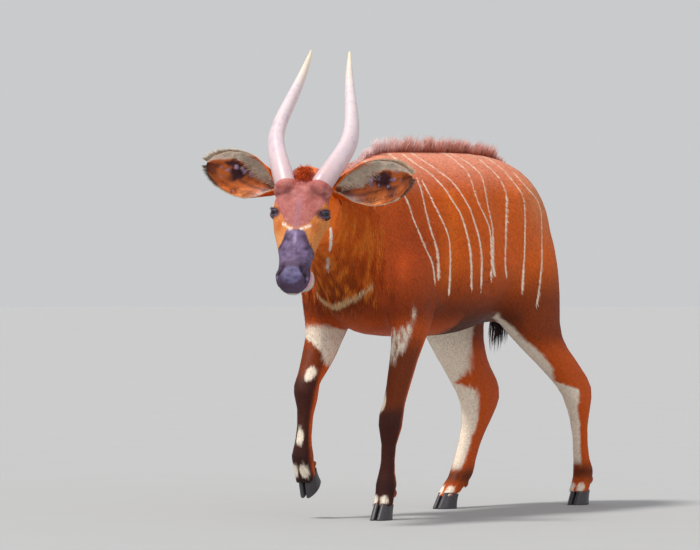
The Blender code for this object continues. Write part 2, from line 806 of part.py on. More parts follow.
def nostril(name, frame, side):
    """A comma-shaped hollow beside the nose pad."""
    rings = []
    for i in range(7):
        t = i / 6
        place = Vector((0.402 - 0.010 * t, side * (0.0235 + 0.013 * t**1.4), -0.060 + 0.026 * t))
        half = 0.0022 + 0.0042 * math.sin(math.pi * min(t * 1.15, 1.0))
        ring = []
        for k in range(8):
            turn = 2 * math.pi * k / 8
            ring.append(
                frame
                @ (
                    place
                    + Vector((0.016, side * 0.010, 0)) * math.cos(turn)
                    + Vector((0, -side * 1.0, 0.0)) * half * math.sin(turn)
                )
            )
        rings.append(ring)
    return loft(name, rings)


def block(name, low, high):
    bm = bmesh.new()
    bmesh.ops.create_cube(bm, size=1)
    for vert in bm.verts:
        vert.co = Vector((low[i] if vert.co[i] < 0 else high[i] for i in range(3)))
    return object_of(name, bm)


def dewclaws(upper, place, heading):
    """Two small horny stubs behind a fetlock."""
    turn = Matrix.Rotation(heading, 3, "Z")
    made = []
    for side in (-1, 1):
        seat = Vector(place) + turn @ Vector((side * 0.0165, 0, 0))
        lean = turn @ Matrix.Rotation(math.radians(-35), 3, "X")
        made.append(ball("dewclaw", seat, (0.009, 0.010, 0.017), lean, rings=4))
    boolean(upper, "UNION", made)


def foot(upper, mat):
    """Ends a leg at its coronet, sets two claws below and two dewclaws behind."""
    sole, heading, pitch, behind = FEET[upper.name]
    frame = foot_frame(sole, heading, math.radians(pitch))
    up = (frame.to_3x3() @ Vector((CORONET_SLOPE, 0, 1))).normalized()
    seat = frame @ Vector((0, 0, HOOF_SEAM))
    boolean(upper, "DIFFERENCE", [half_space("cut", seat + up * GAP, up)])
    for side, which in ((-1, "right"), (1, "left")):
        made = claw("hoof_" + upper.name + "_" + which, frame, side, mat)
        boolean(made, "DIFFERENCE", [half_space("cut", seat, -up)])
    dewclaws(upper, behind, heading)


def tail(mat):
    rows = smooth_rows(TAIL, 3)
    rings = []
    for i, row in enumerate(rows):
        way = rows[min(i + 1, len(rows) - 1)][0:3] - rows[max(i - 1, 0)][0:3]
        way = Vector(way.tolist()).normalized()
        u = Vector((1, 0, 0)) - way * way.x
        u.normalize()
        v = way.cross(u)
        rings.append(
            [
                Vector(row[0:3].tolist())
                + (u * math.cos(2 * math.pi * k / 12) + v * math.sin(2 * math.pi * k / 12))
                * float(row[3])
                for k in range(12)
            ]
        )
    return loft("tail", rings, mat)


def mane_locks(start, stop, count):
    """Upright flat locks along the top line between two values of y."""
    rows = smooth_rows(TRUNK, 4)
    order = np.argsort(rows[:, 1])
    made = []
    for i in range(count):
        y = start + (stop - start) * (i + 0.5) / count
        root = Vector(
            [float(np.interp(y, rows[order, 1], rows[order, axis])) for axis in range(3)]
        )
        root.x += random.uniform(-0.007, 0.007)
        root.z -= MANE_ROOT
        lean = random.uniform(-0.22, 0.22)
        way = Vector((lean, random.uniform(-0.05, 0.25), 1.0))
        bend = Vector((random.uniform(-0.35, 0.35), random.uniform(0.25, 0.75), 0.0))
        flat = Vector((1.0, random.uniform(-0.35, 0.35), 0.0))
        wide = random.uniform(0.021, 0.027)
        made.append(
            lock("lock", root, way, bend, wide, random.uniform(0.056, 0.066), 0.009, flat, 2)
        )
    return made


def tuft_locks():
    """The tail's tuft: locks that start round its last third and hang to a point."""
    rows = smooth_rows(TAIL, 6)
    last = len(rows) - 1
    made = []
    for i in range(TUFT_LOCKS):
        t = i / (TUFT_LOCKS - 1)
        row = rows[int(last - 11 * (1 - t))]
        turn = 2.4 * i
        out = Vector((math.cos(turn), math.sin(turn), 0))
        root = Vector(row[0:3].tolist()) - out * 0.001
        way = out * (0.80 - 0.30 * t) + Vector((-0.10, -0.05, -1.0))
        bend = Vector((0, 0, -0.9)) - out * 0.55
        made.append(
            lock(
                "lock",
                root,
                way,
                bend,
                random.uniform(0.021, 0.027),
                random.uniform(0.115, 0.150),
                0.011,
                out,
            )
        )
    return made


def poll_locks(frame):
    """The tuft of hair between the horns."""
    made = []
    turn = frame.to_3x3()
    for i in range(POLL_LOCKS):
        across = -0.024 + 0.0096 * i
        root = frame @ Vector((0.018 + 0.010 * (i % 2), across, -0.004))
        way = turn @ Vector((-0.35 + 0.3 * (i % 3), across * 9, 1.0))
        bend = turn @ Vector((0.75, across * 6, 0.0))
        made.append(lock("lock", root, way, bend, 0.016, 0.034, 0.008, turn @ Vector((1, 0, 0))))
    return made


def behind(obj, point, normal):
    """Keeps the side of obj that normal points away from."""
    boolean(obj, "DIFFERENCE", [half_space("cut", Vector(point), -Vector(normal))])


def in_front(obj, point, normal):
    """Keeps the side of obj that normal points to, a gap off the plane."""
    normal = Vector(normal).normalized()
    boolean(obj, "DIFFERENCE", [half_space("cut", Vector(point) + normal * GAP, normal)])


def flesh(frame, coat, face_coat):
    """The torso, the neck, the head and the legs, each parted from the next by a gap."""
    torso = body(frame)
    swell(torso, Matrix.Identity(4), BODY_SWELLS)
    thin_out(torso, BODY_TRIANGLES)
    torso.name = "torso"
    neck = split(torso, "neck", *NECK_PLANE)
    behind(neck, frame @ Vector(HEAD_PLANE[0]), HEAD_PLANE[1])
    neck.data.materials.append(coat)
    torso.data.materials.append(coat)
    made = {"torso": torso, "neck": neck, "head": head(frame)}
    in_front(made["head"], frame @ Vector(HEAD_PLANE[0]), HEAD_PLANE[1])
    made["head"].data.materials.append(face_coat)
    for name, (sole, _, _, _) in FEET.items():
        left = sole[0] > 0
        hind = sole[1] > 0.3
        low = (0.0 if left else -0.5, 0.3 if hind else -0.5, -0.1)
        high = (0.5 if left else 0.0, 1.5 if hind else 0.3, LEG_CUT_Z - GAP)
        made[name] = copy_of(torso, name)
        boolean(made[name], "INTERSECT", [block("cut", low, high)])
    boolean(torso, "DIFFERENCE", [block("cut", (-1, -1, -0.2), (1, 2, LEG_CUT_Z))])
    return made


def eyes(head_node, frame, mat):
    """Two eyeballs, and their sockets and lid openings cut in the head."""
    cuts = []
    for side, which in ((-1, "right"), (1, "left")):
        along, across, lift = EYE_CENTRE
        place = frame @ Vector((along, side * across, lift))
        ball("eye_" + which, place, (EYE_RADIUS,) * 3, mat=mat, rings=8)
        cuts.append(ball("cut", place, (EYE_RADIUS + GAP,) * 3, rings=8))
        cuts.append(almond("cut", place, eye_axes(frame, side)))
    boolean(head_node, "DIFFERENCE", cuts)


def mouth(head_node, frame, mat):
    """The nostrils, the parted lips and the tongue tip between them."""
    lips = mouth_slab("cut", frame, 0.0)
    boolean(lips, "DIFFERENCE", [skull("cut", frame, LIP_DEPTH)])
    nostrils = [nostril("cut", frame, side) for side in (-1, 1)]
    boolean(head_node, "DIFFERENCE", [lips, *nostrils])
    tongue = mouth_slab("tongue", frame, 2 * GAP)
    boolean(tongue, "INTERSECT", [skull("cut", frame, TONGUE_FRONT)])
    boolean(tongue, "DIFFERENCE", [skull("cut", frame, LIP_DEPTH - 2 * GAP)])
    tip = ball("cut", frame @ Vector(TONGUE_PLACE), (TONGUE_REACH,) * 3)
    boolean(tongue, "INTERSECT", [tip])
    tongue.data.materials.append(mat)


def ears_and_horns(head_node, frame, coat, horn_mat):
    """Ears and horns, whose roots are part of the head."""
    roots = []
    for side, which in ((-1, "right"), (1, "left")):
        made, root, way = ear("ear_" + which, frame, side)
        made.data.materials.append(coat)
        seam = (frame @ (root + way * EAR_SEAM), frame.to_3x3() @ way)
        roots.append(copy_of(made, "root"))
        in_front(made, *seam)
        behind(roots[-1], *seam)
        made, middle = horn("horn_" + which, frame, side, horn_mat)
        near, far = middle[HORN_SEAM_ROW : HORN_SEAM_ROW + 2]
        seam = ((near + far) / 2, far - near)
        roots.append(copy_of(made, "root"))
        in_front(made, *seam)
        behind(roots[-1], *seam)
    plane = Vector(HEAD_PLANE[1]).normalized()
    for root in roots:
        in_front(root, frame @ Vector(HEAD_PLANE[0]) + plane * ROOT_CLEAR, plane)
    boolean(head_node, "UNION", roots)


def main():
    clear_scene()
    coat = material("chestnut_coat", (0.33, 0.095, 0.030), 0.60)
    dark_coat = material("dark_coat", (0.050, 0.026, 0.020), 0.60)
    face_coat = material("face_coat", (0.23, 0.095, 0.050), 0.60)
    hoof_mat = material("hoof_horn", (0.030, 0.028, 0.030), 0.35)
    horn_mat = material("horn", (0.62, 0.52, 0.48), 0.40)
    eye_mat = material("eye", (0.020, 0.013, 0.010), 0.10)
    mouth_mat = material("mouth", (0.60, 0.25, 0.26), 0.40)

    frame = head_frame()
    parts = flesh(frame, coat, face_coat)
    for name in FEET:
        foot(parts[name], hoof_mat)
    eyes(parts["head"], frame, eye_mat)
    mouth(parts["head"], frame, mouth_mat)
    ears_and_horns(parts["head"], frame, coat, horn_mat)

    hanging = tail(dark_coat)
    root = copy_of(hanging, "root")
    in_front(hanging, *TAIL_PLANE)
    behind(root, *TAIL_PLANE)
    boolean(parts["torso"], "UNION", [root])
    boolean(hanging, "UNION", tuft_locks())

    boolean(parts["torso"], "UNION", mane_locks(*TORSO_MANE))
    behind(parts["torso"], *NECK_PLANE)
    boolean(parts["neck"], "UNION", mane_locks(*NECK_MANE))
    in_front(parts["neck"], *NECK_PLANE)
    behind(parts["neck"], frame @ Vector(HEAD_PLANE[0]), HEAD_PLANE[1])
    boolean(parts["head"], "UNION", poll_locks(frame))

    for obj in bpy.data.objects:
        set_coordinates(obj, coordinates(obj) + np.array(SHIFT))


main()
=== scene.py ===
import math

import bmesh
import bpy
import numpy as np
from mathutils import Matrix, Vector
from mathutils.bvhtree import BVHTree


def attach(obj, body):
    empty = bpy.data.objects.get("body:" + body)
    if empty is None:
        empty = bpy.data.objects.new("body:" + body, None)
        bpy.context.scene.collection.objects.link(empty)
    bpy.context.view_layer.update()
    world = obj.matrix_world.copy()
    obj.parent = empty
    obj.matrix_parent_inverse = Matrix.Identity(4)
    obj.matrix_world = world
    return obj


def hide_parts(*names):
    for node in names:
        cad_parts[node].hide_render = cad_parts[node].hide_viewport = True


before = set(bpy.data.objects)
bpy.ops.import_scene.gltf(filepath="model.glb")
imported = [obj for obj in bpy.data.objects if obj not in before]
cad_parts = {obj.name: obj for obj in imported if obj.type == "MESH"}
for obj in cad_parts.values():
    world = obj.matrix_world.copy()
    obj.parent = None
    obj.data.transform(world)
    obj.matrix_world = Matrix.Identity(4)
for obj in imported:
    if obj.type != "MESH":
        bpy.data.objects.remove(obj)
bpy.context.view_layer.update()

# A bongo antelope in mid walk. Metres, +Z up; it faces -Y and its left side is +X.

# From the withers to the middle of the floor below the animal.
SHIFT = Vector((-0.060, -0.1885, 0.0))
ORIGIN = np.array(SHIFT)

# The head: its poll, the way it faces, how far its nose hangs, and how far it tips.
POLL = Vector((0.085, -0.552, 1.137)) + SHIFT
HEAD_YAW = math.radians(20.5)
HEAD_PITCH = math.radians(52)
HEAD_ROLL = math.radians(4)

# The left eye in the head's axes: its middle, the ball's radius, its way out, the way of its
# slit, the half length and half height of the opening, and those of the pupil.
EYE_CENTRE = (0.137, 0.0745, -0.040)
EYEBALL = 0.0222
EYE_OUT = (0.30, 0.62, 0.72)
EYE_SLIT = (0.50, -0.78, 0.38)
EYE_LONG = 0.0200
EYE_HIGH = 0.0100
PUPIL = (0.0092, 0.0056)

# The rim round an eye: its half thickness below, what is added above, its divisions, and how
# far off the ball the lashes are rooted.
LID_THIN = 0.0022
LID_EXTRA = 0.0014
LID_STEPS = 56
LID_ROUND = 10
LASH_LIFT = 0.0018

# The skin round an eye: how far out it is drawn to the lids, how far they stand off the ball,
# how large the opening is, and how deep the skin lies inside it.
LID_REACH = 0.034
LID_LIFT = 0.0026
LID_OPENING = 1.03
LID_SUNK = 0.0045

# How much of the skin is shaped as a face, in the head's axes: from the poll to the nose, down
# to the jaw, and to each side.
FACE_SPAN = (-0.06, 0.46)
FACE_LOWEST = -0.20
FACE_ASIDE = 0.13

# An ear: its root in the head's axes, its length, how far its lining lies in from its middle,
# the half thickness at its root and how much less it is further out, how deep its short hair
# is rooted, how many rings and points it has, and rows of distance, half width and bend of its
# cup in degrees to each side.
EAR_ROOT = (0.003, 0.062, -0.085)
EAR_LENGTH = 0.285
EAR_LINING = 0.0012
EAR_THICK = 0.0062
EAR_THINNER = 0.0046
EAR_HAIR_ROOTS = 0.0060
EAR_RINGS = 61
EAR_POINTS = 31
EAR = (
    (0.00, 0.019, 165),
    (0.10, 0.021, 160),
    (0.20, 0.034, 135),
    (0.32, 0.052, 98),
    (0.46, 0.069, 74),
    (0.60, 0.072, 60),
    (0.74, 0.065, 54),
    (0.86, 0.050, 50),
    (0.95, 0.029, 48),
    (1.00, 0.007, 46),
)

# The tail's course and radius: x, y, z, radius; how deep its coat is, and the shares of its
# length where its tuft starts and where it turns black.
TAIL = (
    (0.000, 0.930, 1.065, 0.036),
    (-0.003, 0.995, 1.050, 0.031),
    (-0.016, 1.028, 0.990, 0.023),
    (-0.044, 1.030, 0.900, 0.018),
    (-0.080, 1.016, 0.800, 0.0155),
    (-0.108, 1.000, 0.720, 0.014),
    (-0.124, 0.990, 0.670, 0.013),
)
TAIL_COAT = 0.0025
TUFT_START = 0.52
TAIL_BLACKENS = (0.45, 0.70)

# A horn's course in the head's sagittal frame: rise, set back, spread, radius.
HORN_BASE = 0.035
HORN = (
    (-0.030, 0.000, 0.052, 0.032),
    (0.000, 0.012, 0.062, 0.032),
    (0.045, 0.050, 0.085, 0.0305),
    (0.095, 0.100, 0.108, 0.0285),
    (0.140, 0.145, 0.121, 0.0275),
    (0.190, 0.195, 0.119, 0.0260),
    (0.245, 0.248, 0.106, 0.0232),
    (0.300, 0.300, 0.091, 0.0192),
    (0.355, 0.350, 0.078, 0.0140),
    (0.405, 0.392, 0.069, 0.0080),
    (0.438, 0.418, 0.064, 0.0028),
)

# The ridge of the back from the poll to the rump, from the withers: x, y, z.
RIDGE = (
    (0.068, -0.450, 1.134),
    (0.030, -0.270, 1.152),
    (0.012, -0.180, 1.172),
    (0.003, -0.110, 1.196),
    (0.000, -0.040, 1.218),
    (0.000, 0.050, 1.228),
    (0.000, 0.300, 1.224),
    (0.000, 0.580, 1.224),
    (0.000, 0.720, 1.212),
    (0.000, 0.840, 1.180),
    (0.000, 0.925, 1.128),
)
RIDGE_REACH = 0.042
RIDGE_CROWN = 0.010

# The mane's locks, and where it starts and stops along y from the withers.
MANE_LOCKS = 3400
MANE_START = -0.435
MANE_STOP = 0.815

# How long its locks are at each place along y, how wide from thin to thick, and how thick;
# neighbours within a clump lean alike.
MANE_HEIGHTS = (
    (-0.43, 0.008),
    (-0.20, 0.011),
    (-0.11, 0.018),
    (-0.05, 0.048),
    (0.00, 0.066),
    (0.70, 0.054),
)
MANE_WIDTH = (0.0016, 0.0030)
MANE_THICK = 0.0008
MANE_CLUMP = 0.009
MANE_CLUMPS = 600

# The skin: how finely each part is wrapped, how often it is smoothed, the triangles that it
# keeps, how far nodes are swollen so that their seams close, how far behind the head's plane
# the neck is cut and how wide the bridge is there, and a height below the head and neck.
BODY_VOXEL = 0.0040
HEAD_VOXEL = 0.0016
BODY_SMOOTHING = 26
HEAD_SMOOTHING = 40
BODY_TRIANGLES = 59000
HEAD_TRIANGLES = 51000
SEAM_CLOSE = 0.0005
NECK_CUT = 0.045
NECK_GAP = 0.002
KNEES = 0.62
HEAD_PLANE = ((-0.020, 0.0, -0.09), (0.28, -0.90, -0.22))

# How deep the skin lies under the tips of the coat.
BODY_COAT = 0.0030
LEG_COAT = 0.0016
FACE_COAT = 0.0008

# Furrows of the flank: pixels of the photograph, reach and depth in metres.
SHOULDER_FOLD_SEEN = ((404, 236), (418, 241), (434, 249), (440, 266), (439, 285), (433, 303), (424, 318))
THIGH_FOLD_SEEN = ((486, 228), (489, 250), (491, 275), (492, 300), (489, 314))
CHEST_FOLD_SEEN = ((372, 262), (378, 282), (388, 300), (394, 318))
FOLDS_SEEN = (
    (SHOULDER_FOLD_SEEN, 0.015, 0.0120),
    (THIGH_FOLD_SEEN, 0.018, 0.0065),
    (CHEST_FOLD_SEEN, 0.016, 0.0060),
)

# What the head's solid holds of the horns and ears: how near a horn's axis, above which level
# of the brow, and how far along an ear and how near its axis. It is drawn in under the skin.
HORN_STUB = 0.041
HORN_STUB_LEVEL = 0.008
EAR_STUB = (0.036, 0.060)
EAR_STUB_REACH = 0.050

# The mounds at the horns' roots: how far up the horn, their half width and half height, and
# how deep the brow is hollowed beside them.
BOSS_RISE = 0.010
BOSS_REACH = 0.0455
BOSS_HEIGHT = 0.040
BROW_HOLLOW_DEPTH = 0.0026

# The lips that hang open on the left: along, across, out, radius.
INNER_LIP = (
    (0.334, 0.0470, -0.0815, 0.0040),
    (0.354, 0.0490, -0.0850, 0.0082),
    (0.374, 0.0465, -0.0880, 0.0090),
    (0.390, 0.0380, -0.0900, 0.0072),
    (0.402, 0.0270, -0.0900, 0.0038),
)
LOWER_LIP = (
    (0.332, 0.0490, -0.0860, 0.0028),
    (0.348, 0.0530, -0.0915, 0.0052),
    (0.370, 0.0515, -0.0970, 0.0066),
    (0.388, 0.0420, -0.0985, 0.0062),
    (0.400, 0.0270, -0.0965, 0.0040),
)

# The camera that the photograph was taken with: how far it is turned from straight ahead,
# its distance, its height, its focal length in pixels and where its axis meets the frame.
FRAME_WIDTH = 700
FRAME_HEIGHT = 550
CAMERA_TURN = math.radians(33.0)
CAMERA_AWAY = 17.0
CAMERA_HEIGHT = 0.90
CAMERA_SIDE = 0.083
FOCAL_PIXELS = 5100
AXIS_PIXEL = (350, 247)
CAMERA_RIGHT = Vector((math.cos(CAMERA_TURN), math.sin(CAMERA_TURN), 0))
CAMERA_AHEAD = Vector((-math.sin(CAMERA_TURN), math.cos(CAMERA_TURN), 0))
CAMERA_FOOT = SHIFT - CAMERA_AHEAD * CAMERA_AWAY - CAMERA_RIGHT * CAMERA_SIDE
CAMERA_PLACE = CAMERA_FOOT + Vector((0, 0, CAMERA_HEIGHT))
SENSOR_WIDTH = 36

# Stripes of the left flank, in pixels of the photograph from the ridge down.
STRIPES_SEEN = (
    ((403, 194), (408, 203), (412.5, 217), (418, 230), (425, 247.5), (432, 263), (435.5, 287)),
    ((416.7, 178), (421, 190), (425, 208), (430, 228), (436.5, 248), (438, 263), (438.5, 280)),
    ((421.7, 180), (428.3, 193), (436.7, 210), (445, 227), (449.5, 243), (450, 270), (448.7, 297)),
    ((402, 154), (413, 162), (430, 174), (443, 187), (453, 202), (462, 218), (470, 250), (471.7, 293)),
    ((411, 153), (422, 160), (437, 170), (452, 182), (463, 197), (472, 215), (481, 250), (481, 292)),
    ((435, 151), (447, 155), (460, 165), (469, 176), (478, 202), (489, 227), (491.5, 253), (491, 282)),
    ((446, 152), (460, 158), (473, 167), (482, 178), (487.5, 205), (492.5, 230), (493, 263), (495, 277)),
    ((466, 154), (477, 158), (488, 167), (498, 177), (504, 188), (506.5, 203), (505, 257), (506.7, 278)),
    ((479, 155), (490, 160), (503, 170), (513, 182), (521, 193), (524.5, 207), (524.5, 250), (521.7, 297)),
    ((513, 172), (527, 188), (535, 197), (540, 208), (541.5, 223), (541.5, 263), (537, 303), (534, 310)),
)
WITHERS_STRIPES_SEEN = (
    ((388, 154), (396, 159)),
    ((363.5, 161), (369, 163), (375, 165)),
)

# A stripe's half width, and near its lower end; and how near a point lies to be by a mark,
# where the skin's edges are no longer than the last of these.
STRIPE_HALF = 0.0027
STRIPE_END_HALF = 0.0048
BY_A_MARK = 0.024
STRIPE_EDGE = 0.0072

# The pale crescent across the lower throat, as pixels of the photograph.
CHEST_BAND_SEEN = ((317, 292), (325, 299), (334, 304), (345, 299), (359, 292), (372, 283))

# Pale marks of the face, in the head's axes, and their reach: half of the chevron below the
# eyes, which is on both sides, and the two marks of the right cheek.
FACE_MARKS = (
    (((0.221, 0.014, -0.006), (0.216, 0.027, -0.007), (0.203, 0.045, -0.010)), 0.0040),
    (((0.128, 0.083, -0.118), (0.152, 0.078, -0.122), (0.178, 0.070, -0.124)), 0.0060),
    (((0.214, 0.060, -0.128), (0.232, 0.055, -0.127), (0.248, 0.050, -0.122)), 0.0050),
)

# The two pale marks of the left cheek, as pixels of the photograph.
CHEEK_MARKS_SEEN = (
    ((330.5, 229), (331, 238), (330, 249)),
    ((328, 256), (327, 261), (325.5, 266)),
)

# The forehead's dusky patch: its half width against its reach along the face.
FOREHEAD_EDGE = (
    (0.000, 0.222),
    (0.018, 0.214),
    (0.038, 0.201),
    (0.050, 0.178),
    (0.060, 0.158),
    (0.074, 0.132),
    (0.088, 0.100),
    (0.104, 0.060),
)

# The dark bridge of the nose: its half width at each place along the face.
BRIDGE_EDGE_ROWS = (
    (0.215, 0.014),
    (0.228, 0.030),
    (0.250, 0.038),
    (0.268, 0.050),
    (0.285, 0.072),
    (0.310, 0.088),
)

# Lilac glints beside the nostrils, in the head's axes.
NOSTRIL_GLINTS = ((0.408, 0.024, -0.060), (0.392, 0.045, -0.046))

# Pale patches of each leg, as seen by the camera: height, then the patch's two edges
# as shares of the leg's half width in the picture, from left to right.
LEG_PATCHES = {
    "foreleg_left": (
        (0.700, 0.02, 0.10), (0.66, -0.08, 0.14), (0.64, -0.35, 0.12),
        (0.615, -1.2, 0.05), (0.56, -1.4, -0.10), (0.522, -1.4, -0.6),
    ),
    "foreleg_right": (
        (0.640, -1.0, 0.1), (0.615, -1.4, 1.4), (0.585, -0.7, 1.4),
        (0.55, 0.0, 1.4), (0.505, 0.6, 1.4),
    ),
    "hindleg_left": (
        (0.675, -1.10, -0.98), (0.62, -1.3, -0.66), (0.56, -1.6, -0.50),
        (0.48, -1.6, -0.35), (0.435, -1.6, -0.75), (0.405, -1.6, 0.20),
        (0.35, -1.6, 0.05), (0.26, -1.6, -0.10), (0.14, -1.6, -0.20),
    ),
    "hindleg_right": (
        (0.72, -1.6, 0.75), (0.58, -1.6, 0.45), (0.48, -1.6, 0.15),
        (0.43, -1.6, -0.80), (0.405, -1.6, -0.05), (0.36, -1.6, 0.15),
        (0.25, -1.6, 0.05), (0.13, -1.6, -0.15),
    ),
}

# The muzzle leans to the left in the photograph, and is a little wider than the solid.
MUZZLE_SWAY = 0.009
MUZZLE_SPREAD = 0.10

# Lines of each side of the muzzle, in the head's axes.
NOSTRIL = (
    (0.368, 0.032, -0.025), (0.384, 0.038, -0.036), (0.397, 0.035, -0.049), (0.404, 0.027, -0.058)
)
PAD_EDGE = (
    (0.352, 0.030, -0.022), (0.385, 0.026, -0.030), (0.412, 0.021, -0.052), (0.424, 0.016, -0.070)
)
PAD_CLEFT = ((0.424, 0.000, -0.052), (0.427, 0.000, -0.068), (0.424, 0.000, -0.084))
MOUTH = (
    (0.340, 0.050, -0.088), (0.372, 0.048, -0.0905), (0.402, 0.040, -0.0905),
    (0.425, 0.018, -0.088), (0.428, 0.0, -0.088),
)
NOSTRIL_WING = ((0.372, 0.052, -0.046), (0.392, 0.051, -0.058), (0.405, 0.042, -0.070))
NOSTRIL_ROOF = ((0.350, 0.024, -0.016), (0.362, 0.040, -0.024))

# How far each of them reaches to its sides, and how deep it is sunk, or raised below 0.
FACE_CUTS = (
    (NOSTRIL, 0.0085, 0.0170),
    (PAD_EDGE, 0.0040, 0.0014),
    (PAD_CLEFT, 0.0028, 0.0022),
    (MOUTH, 0.0030, 0.0052),
    (NOSTRIL_WING, 0.0075, -0.0026),
    (NOSTRIL_ROOF, 0.0085, -0.0022),
)

# Sections of the legs for their markings: z, x and y of the middle, half depth, half width.
FORELEG_LEFT = (
    (0.75, 0.147, -0.005, 0.13, 0.066),
    (0.59, 0.150, -0.029, 0.077, 0.049),
    (0.45, 0.140, -0.072, 0.048, 0.038),
    (0.33, 0.128, -0.104, 0.045, 0.0385),
    (0.22, 0.122, -0.108, 0.028, 0.024),
    (0.10, 0.120, -0.122, 0.037, 0.034),
    (0.04, 0.124, -0.147, 0.033, 0.037),
)
FORELEG_RIGHT = (
    (0.75, -0.153, -0.034, 0.13, 0.068),
    (0.59, -0.152, -0.078, 0.092, 0.050),
    (0.485, -0.141, -0.163, 0.061, 0.0415),
    (0.422, -0.135, -0.211, 0.047, 0.040),
    (0.31, -0.135, -0.220, 0.030, 0.0255),
    (0.20, -0.140, -0.222, 0.040, 0.0355),
    (0.118, -0.140, -0.197, 0.039, 0.037),
)
HINDLEG_LEFT = (
    (0.76, 0.134, 0.728, 0.190, 0.098),
    (0.615, 0.151, 0.770, 0.138, 0.077),
    (0.505, 0.158, 0.911, 0.111, 0.055),
    (0.39, 0.160, 1.051, 0.081, 0.040),
    (0.27, 0.155, 1.081, 0.031, 0.0295),
    (0.125, 0.150, 1.114, 0.036, 0.0345),
    (0.04, 0.150, 1.082, 0.034, 0.037),
)
HINDLEG_RIGHT = (
    (0.76, -0.130, 0.692, 0.194, 0.098),
    (0.615, -0.134, 0.709, 0.159, 0.077),
    (0.505, -0.125, 0.764, 0.134, 0.056),
    (0.39, -0.116, 0.846, 0.126, 0.040),
    (0.27, -0.104, 0.799, 0.067, 0.034),
    (0.125, -0.092, 0.699, 0.053, 0.0355),
    (0.04, -0.090, 0.598, 0.042, 0.037),
)

# Marks of each leg: heights of its joints and of its pale marks, and how torn its patch is.
LEGS = {
    "foreleg_left": {
        "rows": FORELEG_LEFT, "side": 1, "knee": 0.330, "fetlock": 0.105, "torn": 0.85,
        "spot": (0.355, 0.415), "shin": None, "pastern": (0.050, 0.082),
    },
    "foreleg_right": {
        "rows": FORELEG_RIGHT, "side": -1, "knee": 0.437, "fetlock": 0.205, "torn": 0.10,
        "spot": (0.455, 0.505), "shin": (0.245, 0.300), "pastern": (0.135, 0.182),
    },
    "hindleg_left": {
        "rows": HINDLEG_LEFT, "side": 1, "fetlock": 0.115, "pastern": (0.046, 0.078),
    },
    "hindleg_right": {
        "rows": HINDLEG_RIGHT, "side": -1, "fetlock": 0.110, "pastern": (0.046, 0.078),
    },
}

# A claw: the points round it, how far its middle lies from its inner wall, its height, and how
# far it reaches to its toe, heel and outer side, at the sole and how much less at the top; and
# half the cleft between two claws, at the sole and how much more at the top.
HOOF_POINTS = 44
HOOF_MIDDLE = 0.010
HOOF_CLEFT = (0.0016, 0.0010)
HOOF_HEIGHT = 0.056
HOOF_TOE = (0.053, 0.034)
HOOF_HEEL = (0.036, -0.010)
HOOF_WIDE = (0.0335, 0.0035)

# The feet: middle of the sole, heading, how far it is bent back.
FEET = {
    "foreleg_left": ((0.125, -0.152, 0.0), 0.10, 0),
    "foreleg_right": ((-0.140, -0.172, 0.103), 0.0, 44),
    "hindleg_left": ((0.151, 1.082, 0.0), 0.05, 0),
    "hindleg_right": ((-0.090, 0.592, 0.0), -0.18, 0),
}

# Short tufts: spacing, length, width, and how far they stand off the skin.
TRUNK_TUFTS = (0.0038, 0.0130, 0.0034, 0.13)
LEG_TUFTS = (0.0031, 0.0075, 0.0024, 0.12)
FACE_TUFTS = (0.0022, 0.0040, 0.0013, 0.10)
TUFT_SUNK = 0.0004
TUFT_THICK = 0.28

# A hair's or tuft's patch of the unwrapped skin, and how round it looks across.
BLADE_PATCH = (0.0015, 0.003)
BLADE_ROUND = 0.45

# Hair: shortest and longest, width or thinnest and widest, thickness.
HAIR_SIZES = {
    "lower_lip_hair": ((0.0030, 0.0060), 0.0008, 0.0003),
    "inner": ((0.012, 0.026), (0.0007, 0.0013), 0.0004),
    "lining": ((0.005, 0.011), 0.0010, 0.0003),
    "rim": ((0.005, 0.013), 0.0009, 0.0004),
    "back": ((0.005, 0.009), 0.0019, 0.0005),
    "tail_short_hair": ((0.009, 0.016), 0.0028, 0.0008),
    "tail_tuft": ((0.085, 0.150), (0.0022, 0.0042), 0.0011),
    "poll_tuft": ((0.009, 0.030), (0.0009, 0.0019), 0.0005),
    "chest_crescent": ((0.012, 0.030), (0.0010, 0.0017), 0.0005),
    "neck_hair": ((0.014, 0.024), (0.0014, 0.0026), 0.0006),
    "whiskers": ((0.010, 0.024), 0.0005, 0.0003),
    "lip_fringe": ((0.0035, 0.0070), 0.0008, 0.0003),
    "lashes": ((0.006, 0.011), 0.0006, 0.0003),
}

# How far apart hair is rooted, or how many hairs there are.
HAIR_SPACING = {
    "lower_lip_hair": 0.0013,
    "tail_short_hair": 0.0030,
    "tail_tuft": 0.0040,
    "chest_crescent": 0.0017,
    "neck_hair": 0.0032,
    "whiskers": 0.0082,
    "lip_fringe": 0.0011,
}
HAIR_COUNT = {"inner": 3600, "lining": 3800, "rim": 2600, "back": 6500, "poll_tuft": 1300, "lashes": 90}


def tone(red, green, blue):
    """A colour given as a painter reads it, 0 to 255, as linear light."""
    shares = np.array((red, green, blue)) / 255
    return np.where(shares <= 0.04045, shares / 12.92, ((shares + 0.055) / 1.055) ** 2.4)


